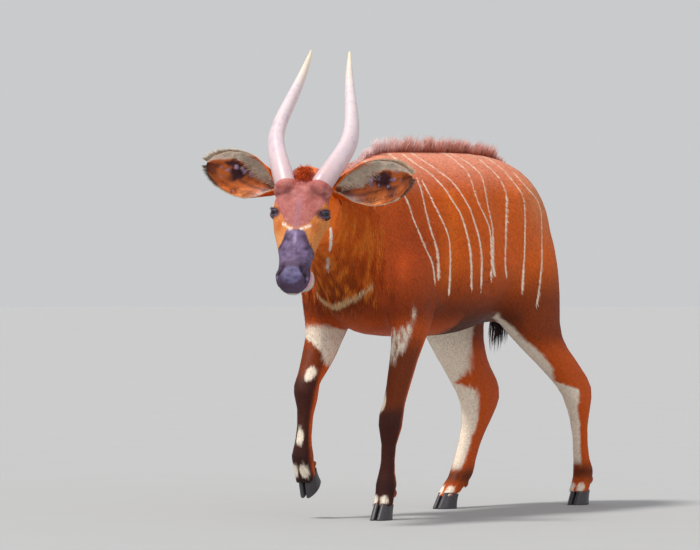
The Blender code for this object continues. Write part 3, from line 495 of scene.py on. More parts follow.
ORANGE = tone(236, 112, 26)
CHESTNUT = tone(208, 86, 20)
RED_BROWN = tone(172, 66, 28)
# A painted sheen of sky light along the top of the back.
PAINTED_BACK_SHEEN = tone(238, 166, 142)
DARK_BROWN = tone(66, 32, 18)
BLACKISH = tone(40, 24, 26)
DEEP_PLUM = tone(48, 36, 52)
TAN = tone(204, 130, 70)
CREAM = tone(240, 226, 206)
GREY_CREAM = tone(214, 196, 186)
STRIPE_CREAM = tone(255, 230, 206)
FOREHEAD = tone(156, 80, 73)
FOREHEAD_PALE = tone(200, 133, 126)
# A painted highlight where light falls on the upper rump.
PAINTED_RUMP_HIGHLIGHT = tone(240, 164, 112)
BELLY_BROWN = tone(118, 44, 12)
PALE_TAN = tone(220, 156, 98)
# Painted shade in the hollows of the brow.
BROW_HOLLOW_SHADE = tone(112, 56, 54)
BROW_MIDDLE = tone(158, 112, 128)
PALE_SLATE = tone(136, 114, 152)
BRIDGE_EDGE = tone(58, 40, 56)
BRIDGE_GLEAM = tone(176, 160, 196)
MUZZLE_DARK = tone(56, 40, 56)
MUZZLE_PALE = tone(92, 72, 96)
PAD_DARK = tone(70, 62, 90)
PAD_PALE = tone(118, 110, 146)
CHIN_CREAM = tone(234, 222, 176)
FACE_MARK_CREAM = tone(238, 220, 206)
# Painted shade inside the nostrils.
NOSTRIL_SHADE = tone(24, 18, 26)
NOSTRIL_LILAC = tone(150, 134, 176)
SOCKET_BROWN = tone(104, 60, 58)
SOCKET_PLUM = tone(74, 60, 92)
CHEEK_WHITE = tone(255, 250, 240)
CHEST_GOLD = tone(244, 206, 156)
EAR_TAN = tone(196, 104, 52)
EAR_PALE_TAN = tone(226, 150, 96)
EAR_BROWN = tone(104, 54, 38)
EAR_CREAM = tone(240, 224, 204)
EAR_DARK = tone(54, 34, 44)
EAR_LILAC = tone(176, 152, 182)
EAR_LINE = tone(58, 38, 44)
EAR_ROOT_PINK = tone(220, 200, 206)
EAR_TIP = tone(74, 44, 38)
EAR_HAIR = tone(246, 230, 210)
RIM_HAIR = tone(240, 220, 192)
RIM_DARK = tone(84, 50, 38)
TAIL_BLACK = tone(44, 28, 32)
MANE_PINK = tone(216, 136, 112)
MANE_ROOT = tone(190, 96, 66)
MANE_PALE_ROOT = tone(220, 160, 150)
MANE_PALE = tone(246, 222, 222)
MANE_DARK = tone(120, 60, 48)
POLL_ORANGE = tone(224, 92, 38)
CRESCENT = tone(244, 208, 160)
NECK_SHADE = tone(128, 56, 18)
NECK_GOLD = tone(250, 140, 46)
WHISKER_WHITE = tone(236, 230, 224)
FRINGE_WHITE = tone(238, 232, 222)
BRISTLE_WHITE = tone(240, 236, 226)
EYE_BLACK = tone(34, 22, 22)
IRIS_BROWN = tone(66, 34, 16)
PUPIL_BLACK = tone(12, 10, 14)
LID_PLUM = tone(66, 54, 84)
LASH_BLACK = tone(30, 22, 26)
HORN_PINK = tone(196, 162, 160)
HORN_LILAC = tone(214, 194, 200)
HORN_PALE = tone(222, 206, 208)
HORN_TIP = tone(238, 222, 184)
HORN_VEIN = tone(176, 150, 186)
HOOF_GREY = tone(58, 54, 58)
LIP_PINK = tone(206, 150, 158)

FLESH = ("torso", "neck", "head", "foreleg_left", "foreleg_right", "hindleg_left", "hindleg_right")

FLOOR_GREYS = ((0.385, 0.390, 0.395), (0.405, 0.410, 0.415))
FLOOR_RADIUS = 60

# Lights: the sky's colour and strength, and for each sun its way, power, spread and colour.
SKY = (0.97, 0.985, 1.0)
SKY_STRENGTH = 0.60
SUNS = {
    "key": ((0.28, 0.50, -1.05), 3.0, 10, (1.0, 0.97, 0.93)),
    "fill": ((-0.9, 0.55, -0.35), 0.5, 60, (0.94, 0.96, 1.0)),
}

# How deep the grain's bumps are, in metres.
GRAIN_DEPTH = 0.001

rng = np.random.default_rng(7)


def deselect():
    for obj in bpy.context.selected_objects:
        obj.select_set(False)


def make_active(obj):
    deselect()
    obj.select_set(True)
    bpy.context.view_layer.objects.active = obj


def add_object(name, data):
    obj = bpy.data.objects.new(name, data)
    bpy.context.scene.collection.objects.link(obj)
    return obj


def object_of(name, bm):
    mesh = bpy.data.meshes.new(name)
    bm.to_mesh(mesh)
    bm.free()
    return add_object(name, mesh)


def points_of(mesh):
    points = np.empty(len(mesh.vertices) * 3)
    mesh.vertices.foreach_get("co", points)
    return points.reshape(-1, 3)


def set_points(mesh, points):
    mesh.vertices.foreach_set("co", np.asarray(points, float).reshape(-1))
    mesh.update()


def normals_of(mesh):
    normals = np.empty(len(mesh.vertices) * 3)
    mesh.vertices.foreach_get("normal", normals)
    return normals.reshape(-1, 3)


def many(colour, count):
    """The same colour for each of a number of points."""
    return np.tile(colour, (count, 1))


def tree_of(obj):
    """A piece's surface, for rays to be cast on."""
    faces = [tuple(face.vertices) for face in obj.data.polygons]
    return BVHTree.FromPolygons(points_of(obj.data).tolist(), faces)


def apply_modifiers(obj):
    """Makes a piece's modifiers part of its mesh, all in one reading."""
    graph = bpy.context.evaluated_depsgraph_get()
    made = bpy.data.meshes.new_from_object(obj.evaluated_get(graph))
    obj.modifiers.clear()
    old = obj.data
    obj.data = made
    bpy.data.meshes.remove(old)


def smooth_rows(rows, between):
    """Rows with others set between them on a smooth curve through them."""
    rows = np.array(rows, float)
    ends = np.vstack([2 * rows[0] - rows[1], rows, 2 * rows[-1] - rows[-2]])
    made = []
    for i in range(1, len(ends) - 2):
        p0, p1, p2, p3 = ends[i - 1 : i + 3]
        for t in np.arange(between) / between:
            curve = 2 * p1 + (p2 - p0) * t + (2 * p0 - 5 * p1 + 4 * p2 - p3) * t**2
            made.append(0.5 * (curve + (3 * p1 - p0 - 3 * p2 + p3) * t**3))
    made.append(ends[-2])
    return np.array(made)


def ease(value, low, high):
    """0 below low, 1 above high, and a smooth rise between them."""
    t = np.clip((value - low) / (high - low), 0, 1)
    return t * t * (3 - 2 * t)


def soft_spot(*sides):
    """1 at a spot's middle and fading away. Each side: the place, the middle, the reach."""
    return np.exp(-sum(((place - middle) / reach) ** 2 for place, middle, reach in sides))


def along_lines(points, line):
    """Distance of each point from a polyline, and where along it the nearest place is."""
    line = np.asarray(line, float)
    best = np.full(len(points), 1e9)
    place = np.zeros(len(points))
    for i in range(len(line) - 1):
        step = line[i + 1] - line[i]
        t = np.clip((points - line[i]) @ step / (step @ step), 0, 1)
        away = np.linalg.norm(points - line[i] - t[:, None] * step, axis=1)
        nearer = away < best
        best[nearer] = away[nearer]
        place[nearer] = (i + t[nearer]) / (len(line) - 1)
    return best, place


def head_frame():
    """The head's own axes: along the face, to its left, and out of the brow."""
    along = Vector(
        (
            math.cos(HEAD_PITCH) * math.sin(HEAD_YAW),
            -math.cos(HEAD_PITCH) * math.cos(HEAD_YAW),
            -math.sin(HEAD_PITCH),
        )
    )
    level = Vector((math.cos(HEAD_YAW), math.sin(HEAD_YAW), 0))
    brow = -level.cross(along).normalized()
    if brow.z < 0:
        brow = -brow
    left = level * math.cos(HEAD_ROLL) - brow * math.sin(HEAD_ROLL)
    out = brow * math.cos(HEAD_ROLL) + level * math.sin(HEAD_ROLL)
    made = Matrix((along, left, out)).transposed().to_4x4()
    made.translation = POLL
    return made


HEAD = head_frame()
HEAD_AXES = np.array(HEAD.to_3x3())
HEAD_ORIGIN = np.array(HEAD.to_translation())


def in_head(points):
    return (points - HEAD_ORIGIN) @ HEAD_AXES


def out_of_head(local):
    return HEAD_ORIGIN + local @ HEAD_AXES.T


def eye_in_head(side):
    return np.array(EYE_CENTRE) * (1, side, 1)


def eye_in_place(side):
    return np.array(HEAD @ Vector(eye_in_head(side)))


def muzzle_lean(along):
    """How far the face is swayed to the left, and how much it is widened."""
    return MUZZLE_SWAY * ease(along, 0.15, 0.40), 1 + MUZZLE_SPREAD * ease(along, 0.29, 0.40)


def in_face(points):
    """Places in the head's axes before the muzzle's lean to the left."""
    local = in_head(points)
    sway, wider = muzzle_lean(local[:, 0])
    local[:, 1] = (local[:, 1] - sway) / wider
    return local


def out_of_face(local):
    """The way back from in_face."""
    local = np.array(local, float)
    sway, wider = muzzle_lean(local[:, 0])
    local[:, 1] = local[:, 1] * wider + sway
    return out_of_head(local)


def ahead_of_neck(points):
    """How far a point lies ahead of the plane between neck and head."""
    way = np.array(Vector(HEAD_PLANE[1]).normalized())
    return (points - np.array(HEAD @ Vector(HEAD_PLANE[0]))) @ way


def horn_axis(side, between=6):
    """The middle line of a horn, and its radius there."""
    forward = Vector((math.sin(HEAD_YAW), -math.cos(HEAD_YAW), 0))
    left = (HEAD.to_3x3() @ Vector((0, 1, 0))).normalized()
    up = left.cross(forward).normalized()
    if up.z < 0:
        up = -up
    back = left.cross(up).normalized()
    if back.dot(forward) > 0:
        back = -back
    rows = smooth_rows(HORN, between)
    base = np.array(HEAD @ Vector((HORN_BASE, 0, 0)))
    middle = (
        base
        + rows[:, 0:1] * np.array(up)
        + rows[:, 1:2] * np.array(back)
        + rows[:, 2:3] * side * np.array(left)
    )
    return middle, rows[:, 3], np.array(left)


def merged_node(name):
    """A node's mesh with its loose triangles joined, a little outward so that seams close."""
    bm = bmesh.new()
    bm.from_mesh(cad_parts[name].data)
    bmesh.ops.remove_doubles(bm, verts=bm.verts, dist=0.00002)
    bm.normal_update()
    for vert in bm.verts:
        vert.co += vert.normal * SEAM_CLOSE
    return bm


def lower_mane(bm):
    """Lays the solid's locks along the ridge flat on the back below them."""
    tree = BVHTree.FromBMesh(bm)
    ridge = smooth_rows(RIDGE, 6) + ORIGIN
    ridge = ridge[np.argsort(ridge[:, 1])]
    heights = []
    for x, y, _ in ridge:
        found = []
        for side in (-1, 1):
            start = Vector((x + side * RIDGE_REACH, y, 2.0))
            hit = tree.ray_cast(start, Vector((0, 0, -1)))[0]
            if hit:
                found.append(hit.z)
        heights.append(sum(found) / len(found) if found else np.nan)
    heights = np.array(heights)
    known = ~np.isnan(heights)
    for vert in bm.verts:
        x, y, z = vert.co
        middle = np.interp(y, ridge[:, 1], ridge[:, 0])
        across = abs(x - middle) / (RIDGE_REACH * 1.3)
        if across > 1 or y < ridge[0, 1] - 0.08 or y > ridge[-1, 1] + 0.02:
            continue
        roof = np.interp(y, ridge[known, 1], heights[known]) + RIDGE_CROWN * (1 - across**2)
        if z > roof:
            vert.co.z = roof - 0.002


def ear_way(side):
    """The ear's course from its root, in the head's axes."""
    way = np.array((-0.16, 0.97, 0.13) if side > 0 else (-0.21, -0.96, 0.16))
    return np.array(EAR_ROOT) * (1, side, 1), way / np.linalg.norm(way)


def lower_poll_tuft(bm):
    """Lays the poll's locks flat, and draws the stubs of horns and ears in under them."""
    points = np.array([vert.co for vert in bm.verts])
    local = in_head(points)
    horned = np.zeros(len(points), bool)
    for side in (-1, 1):
        middle, _, _ = horn_axis(side)
        away, place = along_lines(points, middle)
        i = np.clip(place * (len(middle) - 1), 0, len(middle) - 1).astype(int)
        stub = (away < HORN_STUB) & (local[:, 2] > HORN_STUB_LEVEL)
        horned |= stub
        stub = stub & (i > 3)
        points[stub] = middle[i[stub]] + (points[stub] - middle[i[stub]]) * 0.5
        root, way = ear_way(side)
        far = (local - root) @ way
        across = local - root - far[:, None] * way
        stub = (far > EAR_STUB[0]) & (far < EAR_STUB[1])
        stub &= np.linalg.norm(across, axis=1) < EAR_STUB_REACH
        drawn = root + way * np.minimum(far, EAR_STUB[0])[:, None] + across * 0.25
        points[stub] = out_of_head(drawn[stub])
    tuft = (np.abs(local[:, 1]) < 0.06) & (local[:, 2] > 0.016) & (local[:, 0] > -0.06)
    tuft &= ~horned
    local[:, 2][tuft] = 0.012
    points[tuft] = out_of_head(local[tuft])
    for vert, place in zip(bm.verts, points):
        vert.co = place


def add_bosses(bm):
    """Rounded mounds that the horns rise out of."""
    for side in (-1, 1):
        middle, _, _ = horn_axis(side)
        far = np.linalg.norm(np.diff(middle, axis=0), axis=1).cumsum()
        i = int(np.searchsorted(far, BOSS_RISE))
        turn = Vector(middle[i + 3] - middle[i]).to_track_quat("Z", "Y").to_matrix().to_4x4()
        size = Matrix.Diagonal((BOSS_REACH, BOSS_REACH, BOSS_HEIGHT, 1))
        place = Matrix.Translation(middle[i]) @ turn @ size
        bmesh.ops.create_icosphere(bm, subdivisions=4, radius=1, matrix=place)


def wrap(name, nodes, voxel):
    """One closed surface round the nodes given."""
    whole = bmesh.new()
    for node in nodes:
        bm = merged_node(node)
        if node in ("torso", "neck"):
            lower_mane(bm)
        if node == "head":
            lower_poll_tuft(bm)
            add_bosses(bm)
        mesh = bpy.data.meshes.new("flesh")
        bm.to_mesh(mesh)
        bm.free()
        whole.from_mesh(mesh)
        bpy.data.meshes.remove(mesh)
    obj = object_of(name, whole)
    step = obj.modifiers.new("wrap", "REMESH")
    step.mode = "VOXEL"
    step.voxel_size = voxel
    apply_modifiers(obj)
    return obj


def smooth_where(obj, weights, iterations):
    """Smooths the surface, each point by its own weight."""
    group = obj.vertex_groups.new(name="smooth")
    for level in range(1, 11):
        picked = np.flatnonzero(np.round(weights * 10) == level)
        if len(picked):
            group.add(picked.tolist(), level / 10, "REPLACE")
    step = obj.modifiers.new("smooth", "SMOOTH")
    step.factor = 0.5
    step.iterations = iterations
    step.vertex_group = "smooth"
    apply_modifiers(obj)
    obj.vertex_groups.clear()


def thin_out(obj, triangles):
    """Lowers the number of triangles and leaves the surface where it was."""
    step = obj.modifiers.new("thin", "DECIMATE")
    step.ratio = triangles / (2 * len(obj.data.polygons))
    apply_modifiers(obj)


def cut_off(obj, point, normal):
    """Removes what lies ahead of a plane, above the knees, and leaves the cut open."""
    bm = bmesh.new()
    bm.from_mesh(obj.data)
    verts = [vert for vert in bm.verts if vert.co.z > KNEES]
    faces = {face for vert in verts for face in vert.link_faces}
    edges = {edge for face in faces for edge in face.edges}
    bmesh.ops.bisect_plane(
        bm,
        geom=[*verts, *edges, *faces],
        dist=0.0001,
        plane_co=point,
        plane_no=normal,
        clear_outer=True,
    )
    bm.to_mesh(obj.data)
    bm.free()


def keep_largest(bm):
    """Drops every surface but the one with the most faces."""
    left = set(bm.faces)
    islands = []
    while left:
        face = left.pop()
        island = [face]
        edge = [face]
        while edge:
            for side in edge.pop().edges:
                for other in side.link_faces:
                    if other in left:
                        left.remove(other)
                        island.append(other)
                        edge.append(other)
        islands.append(island)
    islands.sort(key=len)
    for island in islands[:-1]:
        bmesh.ops.delete(bm, geom=island, context="FACES")


def unit(vectors):
    return vectors / np.maximum(np.linalg.norm(vectors, axis=1), 1e-9)[:, None]


def tangent(vectors, normals):
    """Vectors laid down on the surface that has these normals."""
    return unit(vectors - normals * np.sum(vectors * normals, axis=1)[:, None])


def eye_axes(side):
    """Out of an eye, along its slit, and up."""
    mirror = np.array((1, side, 1))
    out = unit(np.array([EYE_OUT]) * mirror)[0]
    slit = tangent(np.array([EYE_SLIT]) * mirror, out[None])[0]
    up = np.cross(out, slit) * -side
    return [HEAD_AXES @ way for way in (out, slit, up)]


def press_folds(obj):
    """Shallow furrows round the shoulder and in front of the thigh, on both flanks."""
    tree = tree_of(obj)
    points = points_of(obj.data)
    normals = normals_of(obj.data)
    place = points - ORIGIN
    place[:, 0] = np.abs(place[:, 0])
    push = np.zeros(len(points))
    for pixels, reach, depth in FOLDS_SEEN:
        line = traced(tree, pixels, 4) - ORIGIN
        away, along = along_lines(place, line)
        fade = ease(along, 0.0, 0.2) * ease(1 - along, 0.0, 0.25)
        push -= depth * fade * soft_spot((away, 0, reach))
    set_points(obj.data, points + normals * push[:, None])


def sculpt_head(obj):
    """Nostrils, nose pad, mouth, hollows of the brow, the lids' seats and the muzzle's lean."""
    points = points_of(obj.data)
    normals = normals_of(obj.data)
    local = in_head(points)
    mine = np.flatnonzero(
        (local[:, 0] > FACE_SPAN[0])
        & (local[:, 0] < FACE_SPAN[1])
        & (local[:, 2] > FACE_LOWEST)
        & (np.abs(local[:, 1]) < FACE_ASIDE)
        & (points[:, 2] > KNEES)
    )
    local = local[mine]
    slope = normals[mine] @ HEAD_AXES
    folded = np.column_stack((local[:, 0], np.abs(local[:, 1]), local[:, 2]))
    push = np.zeros(len(mine))
    for line, reach, depth in FACE_CUTS:
        away, _ = along_lines(folded, smooth_rows(line, 4))
        push -= depth * soft_spot((away, 0, reach))
    hollow = soft_spot((folded[:, 1], 0.038, 0.020), (folded[:, 0], 0.090, 0.030))
    push -= BROW_HOLLOW_DEPTH * hollow * (local[:, 2] > -0.03)
    local = local + slope * push[:, None]

    place = out_of_head(local)
    for side in (-1, 1):
        centre = eye_in_place(side)
        out, slit, up = eye_axes(side)
        rel = place - centre
        s, h, d = rel @ slit, rel @ up, rel @ out
        radius = np.linalg.norm(rel, axis=1)
        opening = np.sqrt((s / EYE_LONG) ** 2 + (h / EYE_HIGH) ** 2)
        facing = (d > 0) & (radius < EYEBALL + LID_REACH)
        rim = radius + (EYEBALL + LID_LIFT - radius) * (1 - ease(opening, 1.25, 2.3))
        blended = np.where(opening < LID_OPENING, EYEBALL - LID_SUNK, rim)
        place = np.where(facing[:, None], centre + unit(rel) * blended[:, None], place)
    local = in_head(place)
    points[mine] = out_of_face(local)
    set_points(obj.data, points)


def make_skin():
    """The body and the head wrapped apart, each as finely as it needs, and bridged."""
    way = Vector(HEAD_PLANE[1]).normalized()
    seam = HEAD @ Vector(HEAD_PLANE[0]) - way * NECK_CUT

    body = wrap("skin", FLESH, BODY_VOXEL)
    points = points_of(body.data)
    upper = ease(points[:, 2], 0.50, 0.66)
    smooth_where(body, 0.25 + 0.75 * upper, BODY_SMOOTHING)
    cut_off(body, seam, way)
    thin_out(body, BODY_TRIANGLES)

    head = wrap("head_skin", ("head", "neck"), HEAD_VOXEL)
    local = in_head(points_of(head.data))
    plain = np.ones(len(local))
    for side in (-1, 1):
        eye = eye_in_head(side)
        plain *= ease(np.linalg.norm(local - eye, axis=1), 0.022, 0.040)
    plain *= 1 - ease(local[:, 0], 0.29, 0.33)
    smooth_where(head, 0.12 + 0.88 * plain, HEAD_SMOOTHING)
    cut_off(head, seam + way * NECK_GAP, -way)
    thin_out(head, HEAD_TRIANGLES)

    bm = bmesh.new()
    bm.from_mesh(body.data)
    bm.from_mesh(head.data)
    rims = [edge for edge in bm.edges if edge.is_boundary]
    bmesh.ops.bridge_loops(bm, edges=rims)
    bmesh.ops.triangulate(bm, faces=bm.faces)
    keep_largest(bm)
    bmesh.ops.recalc_face_normals(bm, faces=bm.faces)
    bm.to_mesh(body.data)
    bm.free()
    bpy.data.objects.remove(head, do_unlink=True)

    press_folds(body)
    sculpt_head(body)
    points = points_of(body.data)
    normals = normals_of(body.data)
    local = in_head(points)
    depth = LEG_COAT + (BODY_COAT - LEG_COAT) * ease(points[:, 2], 0.45, 0.60)
    face = ease(local[:, 0], 0.02, 0.12) * (points[:, 1] < -0.62)
    depth = depth * (1 - face) + FACE_COAT * face
    set_points(body.data, points - normals * depth[:, None])
    body.data.shade_smooth()
    return body


def sight(px, py):
    """The line of sight through a pixel: where it starts and its way."""
    across = (px - AXIS_PIXEL[0]) / FOCAL_PIXELS
    up = (AXIS_PIXEL[1] - py) / FOCAL_PIXELS
    way = CAMERA_AHEAD + CAMERA_RIGHT * across + Vector((0, 0, up))
    return CAMERA_PLACE, way.normalized()


def traced(tree, pixels, between=4):
    """A line on the skin under pixels of the photograph."""
    found = []
    for px, py in smooth_rows(pixels, between):
        start, way = sight(px, py)
        hit = tree.ray_cast(start, way)[0]
        if hit:
            found.append(hit)
    return np.array(found)


def noise(points, scale, seed):
    """Smooth unevenness from -1 to 1, as a sum of waves in random directions."""
    source = np.random.default_rng(seed)
    total = np.zeros(len(points))
    for _ in range(10):
        way = source.normal(size=3)
        way /= np.linalg.norm(way)
        total += np.sin(points @ way * scale * source.uniform(0.6, 1.6) + source.uniform(0, 6.28))
    return total / 10 * 1.8


def blend(base, colour, share):
    return base + (np.asarray(colour) - base) * np.clip(share, 0, 1)[:, None]


def layered(base, *layers):
    """A colour with others laid over it in turn, each by its share."""
    for colour, share in layers:
        base = blend(base, colour, share)
    return base


def across_rows(z, rows):
    """What rows that start with a height, from the top down, give at each height."""
    rows = np.array(rows)[::-1]
    return np.array([np.interp(z, rows[:, 0], column) for column in rows[:, 1:].T])


def off_spot(z, span, aside, behind):
    """How far off a rounded spot between two heights a point lies: 1 is its edge."""
    low, high = span
    return ((z - (low + high) / 2) / (high - low) * 2) ** 2 + aside**2 + (behind * 3) ** 2


class Markings:
    """The coat's colours, read at any point of the skin, so that skin and hair agree."""

    def __init__(self, tree):
        self.stripes = [traced(tree, pixels, 5) - ORIGIN for pixels in STRIPES_SEEN]
        self.withers = [traced(tree, pixels, 5) - ORIGIN for pixels in WITHERS_STRIPES_SEEN]
        self.chest = traced(tree, CHEST_BAND_SEEN, 4)
        self.cheek = [traced(tree, pixels, 3) for pixels in CHEEK_MARKS_SEEN]

    def stripe_share(self, place):
        """How far a point lies in a pale stripe, on either flank."""
        share = np.zeros(len(place))
        near = (place[:, 2] > 0.70) & (place[:, 1] > -0.12)
        ragged = noise(place, 420, 5) * 0.0007
        for number, line in enumerate(self.stripes + self.withers):
            for side in (1, -1):
                drift = 0.0 if side > 0 else 0.012 * math.sin(number * 2.3)
                mine = near & (place[:, 0] * side > -0.004)
                mine &= place[:, 1] > line[:, 1].min() - 0.03 + drift
                mine &= place[:, 1] < line[:, 1].max() + 0.03 + drift
                if not mine.any():
                    continue
                there = place[mine] * (side, 1, 1) - (0, drift, 0)
                away, along = along_lines(there, line)
                half = STRIPE_HALF + (STRIPE_END_HALF - STRIPE_HALF) * ease(along, 0.55, 0.95)
                half = half * (1 - 0.9 * ease(along, 0.97, 1.0)) + ragged[mine]
                half = np.maximum(half, 0.0003)
                share[mine] = np.maximum(share[mine], 1 - ease(away, half * 0.75, half * 1.35))
        return share

    def near_fine_marks(self, points):
        """Which points lie close to a stripe or to the chest's crescent."""
        place = points - ORIGIN
        near = np.zeros(len(points), bool)
        flank = place[:, 2] > 0.70
        for line in self.stripes + self.withers:
            for side in (1, -1):
                mine = flank & (place[:, 0] * side > 0)
                mine &= place[:, 1] > line[:, 1].min() - 0.03
                mine &= place[:, 1] < line[:, 1].max() + 0.03
                away, _ = along_lines(place[mine] * (side, 1, 1), line)
                near[mine] |= away < BY_A_MARK
        away, _ = along_lines(points, self.chest)
        return near | (away < BY_A_MARK)

    def body(self, place):
        """Chestnut trunk and neck, darker below, with a painted sheen on the back and a painted highlight
        on the rump.
        """
        _, y, z = place.T
        patches = noise(place, 9, 1)
        shoulder = soft_spot((y, -0.02, 0.20), (z, 0.93, 0.24))
        # The upper rump, where a highlight is painted.
        rump = soft_spot((y, 0.80, 0.14), (z, 1.08, 0.13))
        fold = soft_spot((y - 0.155, 0.25 * (z - 0.9), 0.045)) * ease(z, 0.66, 0.8)
        low = ease(0.88 - z + 0.03 * patches, 0.0, 0.20)
        belly = ease(0.74 - z, 0.0, 0.12) * ease(y, 0.0, 0.14) * ease(0.66 - y, 0.0, 0.08)
        throat = soft_spot((y, -0.30, 0.10)) * ease(0.96 - z, 0.0, 0.16)
        return layered(
            many(CHESTNUT, len(place)),
            (ORANGE, 0.35 + 0.5 * patches),
            (ORANGE, 0.7 * ease(y, -0.16, -0.34)),
            (RED_BROWN, 0.72 * shoulder),
            (ORANGE, 0.5 * ease(y, 0.84, 0.98)),
            # Painted highlight on the upper rump.
            (PAINTED_RUMP_HIGHLIGHT, 0.55 * rump),
            (ORANGE, 0.55 * fold * (z < 1.1)),
            # Painted sheen of light along the top of the back.
            (PAINTED_BACK_SHEEN, 0.70 * ease(z + 0.02 * patches, 1.06, 1.22)),
            (BELLY_BROWN, 0.88 * low),
            (DARK_BROWN, 0.85 * belly),
            (DARK_BROWN, 0.22 * throat),
        )

    def leg_patch(self, place, name, ragged):
        """How far a point lies in a leg's pale patch, as the camera sees the leg."""
        z = place[:, 2]
        middle_x, middle_y, deep, wide = across_rows(z, LEGS[name]["rows"])
        right = math.cos(CAMERA_TURN), math.sin(CAMERA_TURN)
        dx, dy = place[:, 0] - middle_x, place[:, 1] - middle_y
        seen = (right[0] * dx + right[1] * dy) / np.hypot(right[0] * wide, right[1] * deep)
        rows = LEG_PATCHES[name]
        first, last = across_rows(z, rows) + ragged
        share = ease(seen - first, -0.05, 0.12) * ease(last - seen, -0.12, 0.12)
        top, foot = rows[0][0], rows[-1][0]
        return share * ease(z, foot - 0.006, foot + 0.010) * ease(top - z, -0.01, 0.012)

    def leg(self, colour, place, name):
        """Dark front, chestnut rear and pale marks of one leg."""
        marks = LEGS[name]
        x, y, z = place.T
        middle_x, middle_y, deep, wide = across_rows(z, marks["rows"])
        rear = (y - middle_y) / deep
        outer = (x - middle_x) * marks["side"] / wide
        ragged = 0.12 * noise(place, 60, 3) + 0.05 * noise(place, 260, 4)
        fetlock = marks["fetlock"]
        if "spot" in marks:
            knee = marks["knee"]
            dark = ease(-rear + 0.25 * outer + ragged, -0.35, 0.25) * ease(0.66 - z, 0.0, 0.12)
            colour = layered(
                colour,
                (CHESTNUT, ease(0.70 - z, 0, 0.1)),
                (DARK_BROWN, 0.80 * dark),
                (BLACKISH, 0.75 * dark * ease(knee + 0.06 - z, 0.0, 0.05)),
                (BLACKISH, 0.5 * soft_spot((z, fetlock, 0.035))),
            )
            patch = self.leg_patch(place, name, ragged) * ease(0.75 - rear, 0.0, 0.3)
            patch *= (np.abs(outer) < 1.5) & (rear > -1.7)
            torn = ease(noise(place * (1, 1, 0.45), 330, 12), -0.55, 0.15)
            patch *= 1 - marks["torn"] * (1 - torn)
            colour = blend(colour, CREAM, 0.93 * patch)
            spot = off_spot(z, marks["spot"], (outer + 0.55) / 0.32, ease(rear, -0.1, 0.3))
            colour = blend(colour, CREAM, 0.95 * (1 - ease(spot + ragged, 0.7, 1.2)))
            if marks["shin"]:
                spot = off_spot(z, marks["shin"], (outer + 0.1) / 0.45, ease(rear, -0.3, 0.2))
                colour = blend(colour, CREAM, 0.95 * (1 - ease(spot + ragged, 0.7, 1.2)))
        else:
            colour = blend(colour, CHESTNUT, 0.8 * ease(0.62 - z, 0, 0.1))
            strip = self.leg_patch(place, name, ragged)
            if name == "hindleg_right":
                strip *= ease(0.7 - outer, 0.0, 0.3)
                strip *= ease(0.55 - rear, 0.0, 0.2) * ease(rear + 1.45, 0.0, 0.2)
            colour = blend(colour, CREAM, 0.93 * strip)
            dark = soft_spot((z, fetlock, 0.03)) + ease(0.05 - z, 0.0, 0.02)
            colour = blend(colour, DARK_BROWN, 0.85 * dark)
        beside = (np.abs((x - middle_x) / wide) - 0.45) / 0.36
        spots = off_spot(z, marks["pastern"], beside, ease(rear, 0.1, 0.5))
        colour = blend(colour, CREAM, 0.95 * (1 - ease(spots, 0.75, 1.15)))
        band = ease(marks["pastern"][0] + 0.004 - z, 0.0, 0.008)
        return blend(colour, BLACKISH, 0.85 * band)

    def head(self, colour, points):
        """Dusky forehead, tan cheeks, pale chevron and spots, dark bridge and pale lips, with painted
        shade in the brow's hollows and the nostrils.
        """
        along, across, out = in_face(points).T
        aside = np.abs(across)
        fine = noise(points, 90, 6) * 0.004
        mottle = noise(points, 260, 9)
        clouds = noise(points, 45, 10)
        tan = ease(along + fine, 0.095, 0.14) * ease(0.345 - along - fine, 0.0, 0.04)
        tan *= ease(out + fine, -0.122, -0.100)
        smudge = soft_spot((aside, 0.058, 0.014), (along, 0.200, 0.016))
        edge = np.array(FOREHEAD_EDGE)
        reach = np.interp(aside, edge[:, 0], edge[:, 1])
        brow = ease(reach - along + fine, -0.003, 0.006) * ease(0.108 - aside, 0, 0.006)
        brow *= ease(out + 0.6 * fine, -0.052, -0.036)
        brow *= np.maximum(ease(along + fine, -0.012, -0.004), ease(aside, 0.030, 0.036))
        dusk = layered(
            many(FOREHEAD, len(points)),
            (FOREHEAD_PALE, 0.35 + 0.3 * mottle),
            # Painted shade darkens the brow's hollows, where the skin is also sunk.
            (BROW_HOLLOW_SHADE, 0.65 * soft_spot((aside, 0.040, 0.018), (along, 0.085, 0.028))),
            (BROW_MIDDLE, 0.5 * soft_spot((aside, 0, 0.012)) * ease(along, 0.05, 0.15)),
        )
        streak = soft_spot((aside, 0.076 - 0.12 * (along - 0.08), 0.0055))
        streak *= ease(along, 0.045, 0.07) * ease(0.115 - along, 0.0, 0.02) * ease(out, -0.06, -0.04)
        edge = np.array(BRIDGE_EDGE_ROWS)
        half = np.interp(along, edge[:, 0], edge[:, 1])
        bridge = ease(half - aside + fine, -0.003, 0.003) * ease(along + fine, 0.219, 0.227)
        edge_dark = ease(aside, half - 0.026, half - 0.004) * ease(along, 0.23, 0.25)
        gleam = soft_spot((aside, 0, 0.005)) * ease(along, 0.225, 0.235)
        gleam *= ease(0.285 - along, 0, 0.02)
        slate = layered(
            many(DEEP_PLUM, len(points)),
            (PALE_SLATE, 0.5 + 0.35 * mottle),
            (BRIDGE_EDGE, 0.75 * edge_dark),
            (BRIDGE_GLEAM, 0.6 * gleam),
        )
        muzzle = ease(along + fine - 0.2 * (out + 0.06), 0.318, 0.352)
        dark = blend(many(MUZZLE_DARK, len(points)), MUZZLE_PALE, 0.4 + 0.4 * clouds)
        pad = blend(many(PAD_DARK, len(points)), PAD_PALE, 0.5 + 0.5 * mottle)
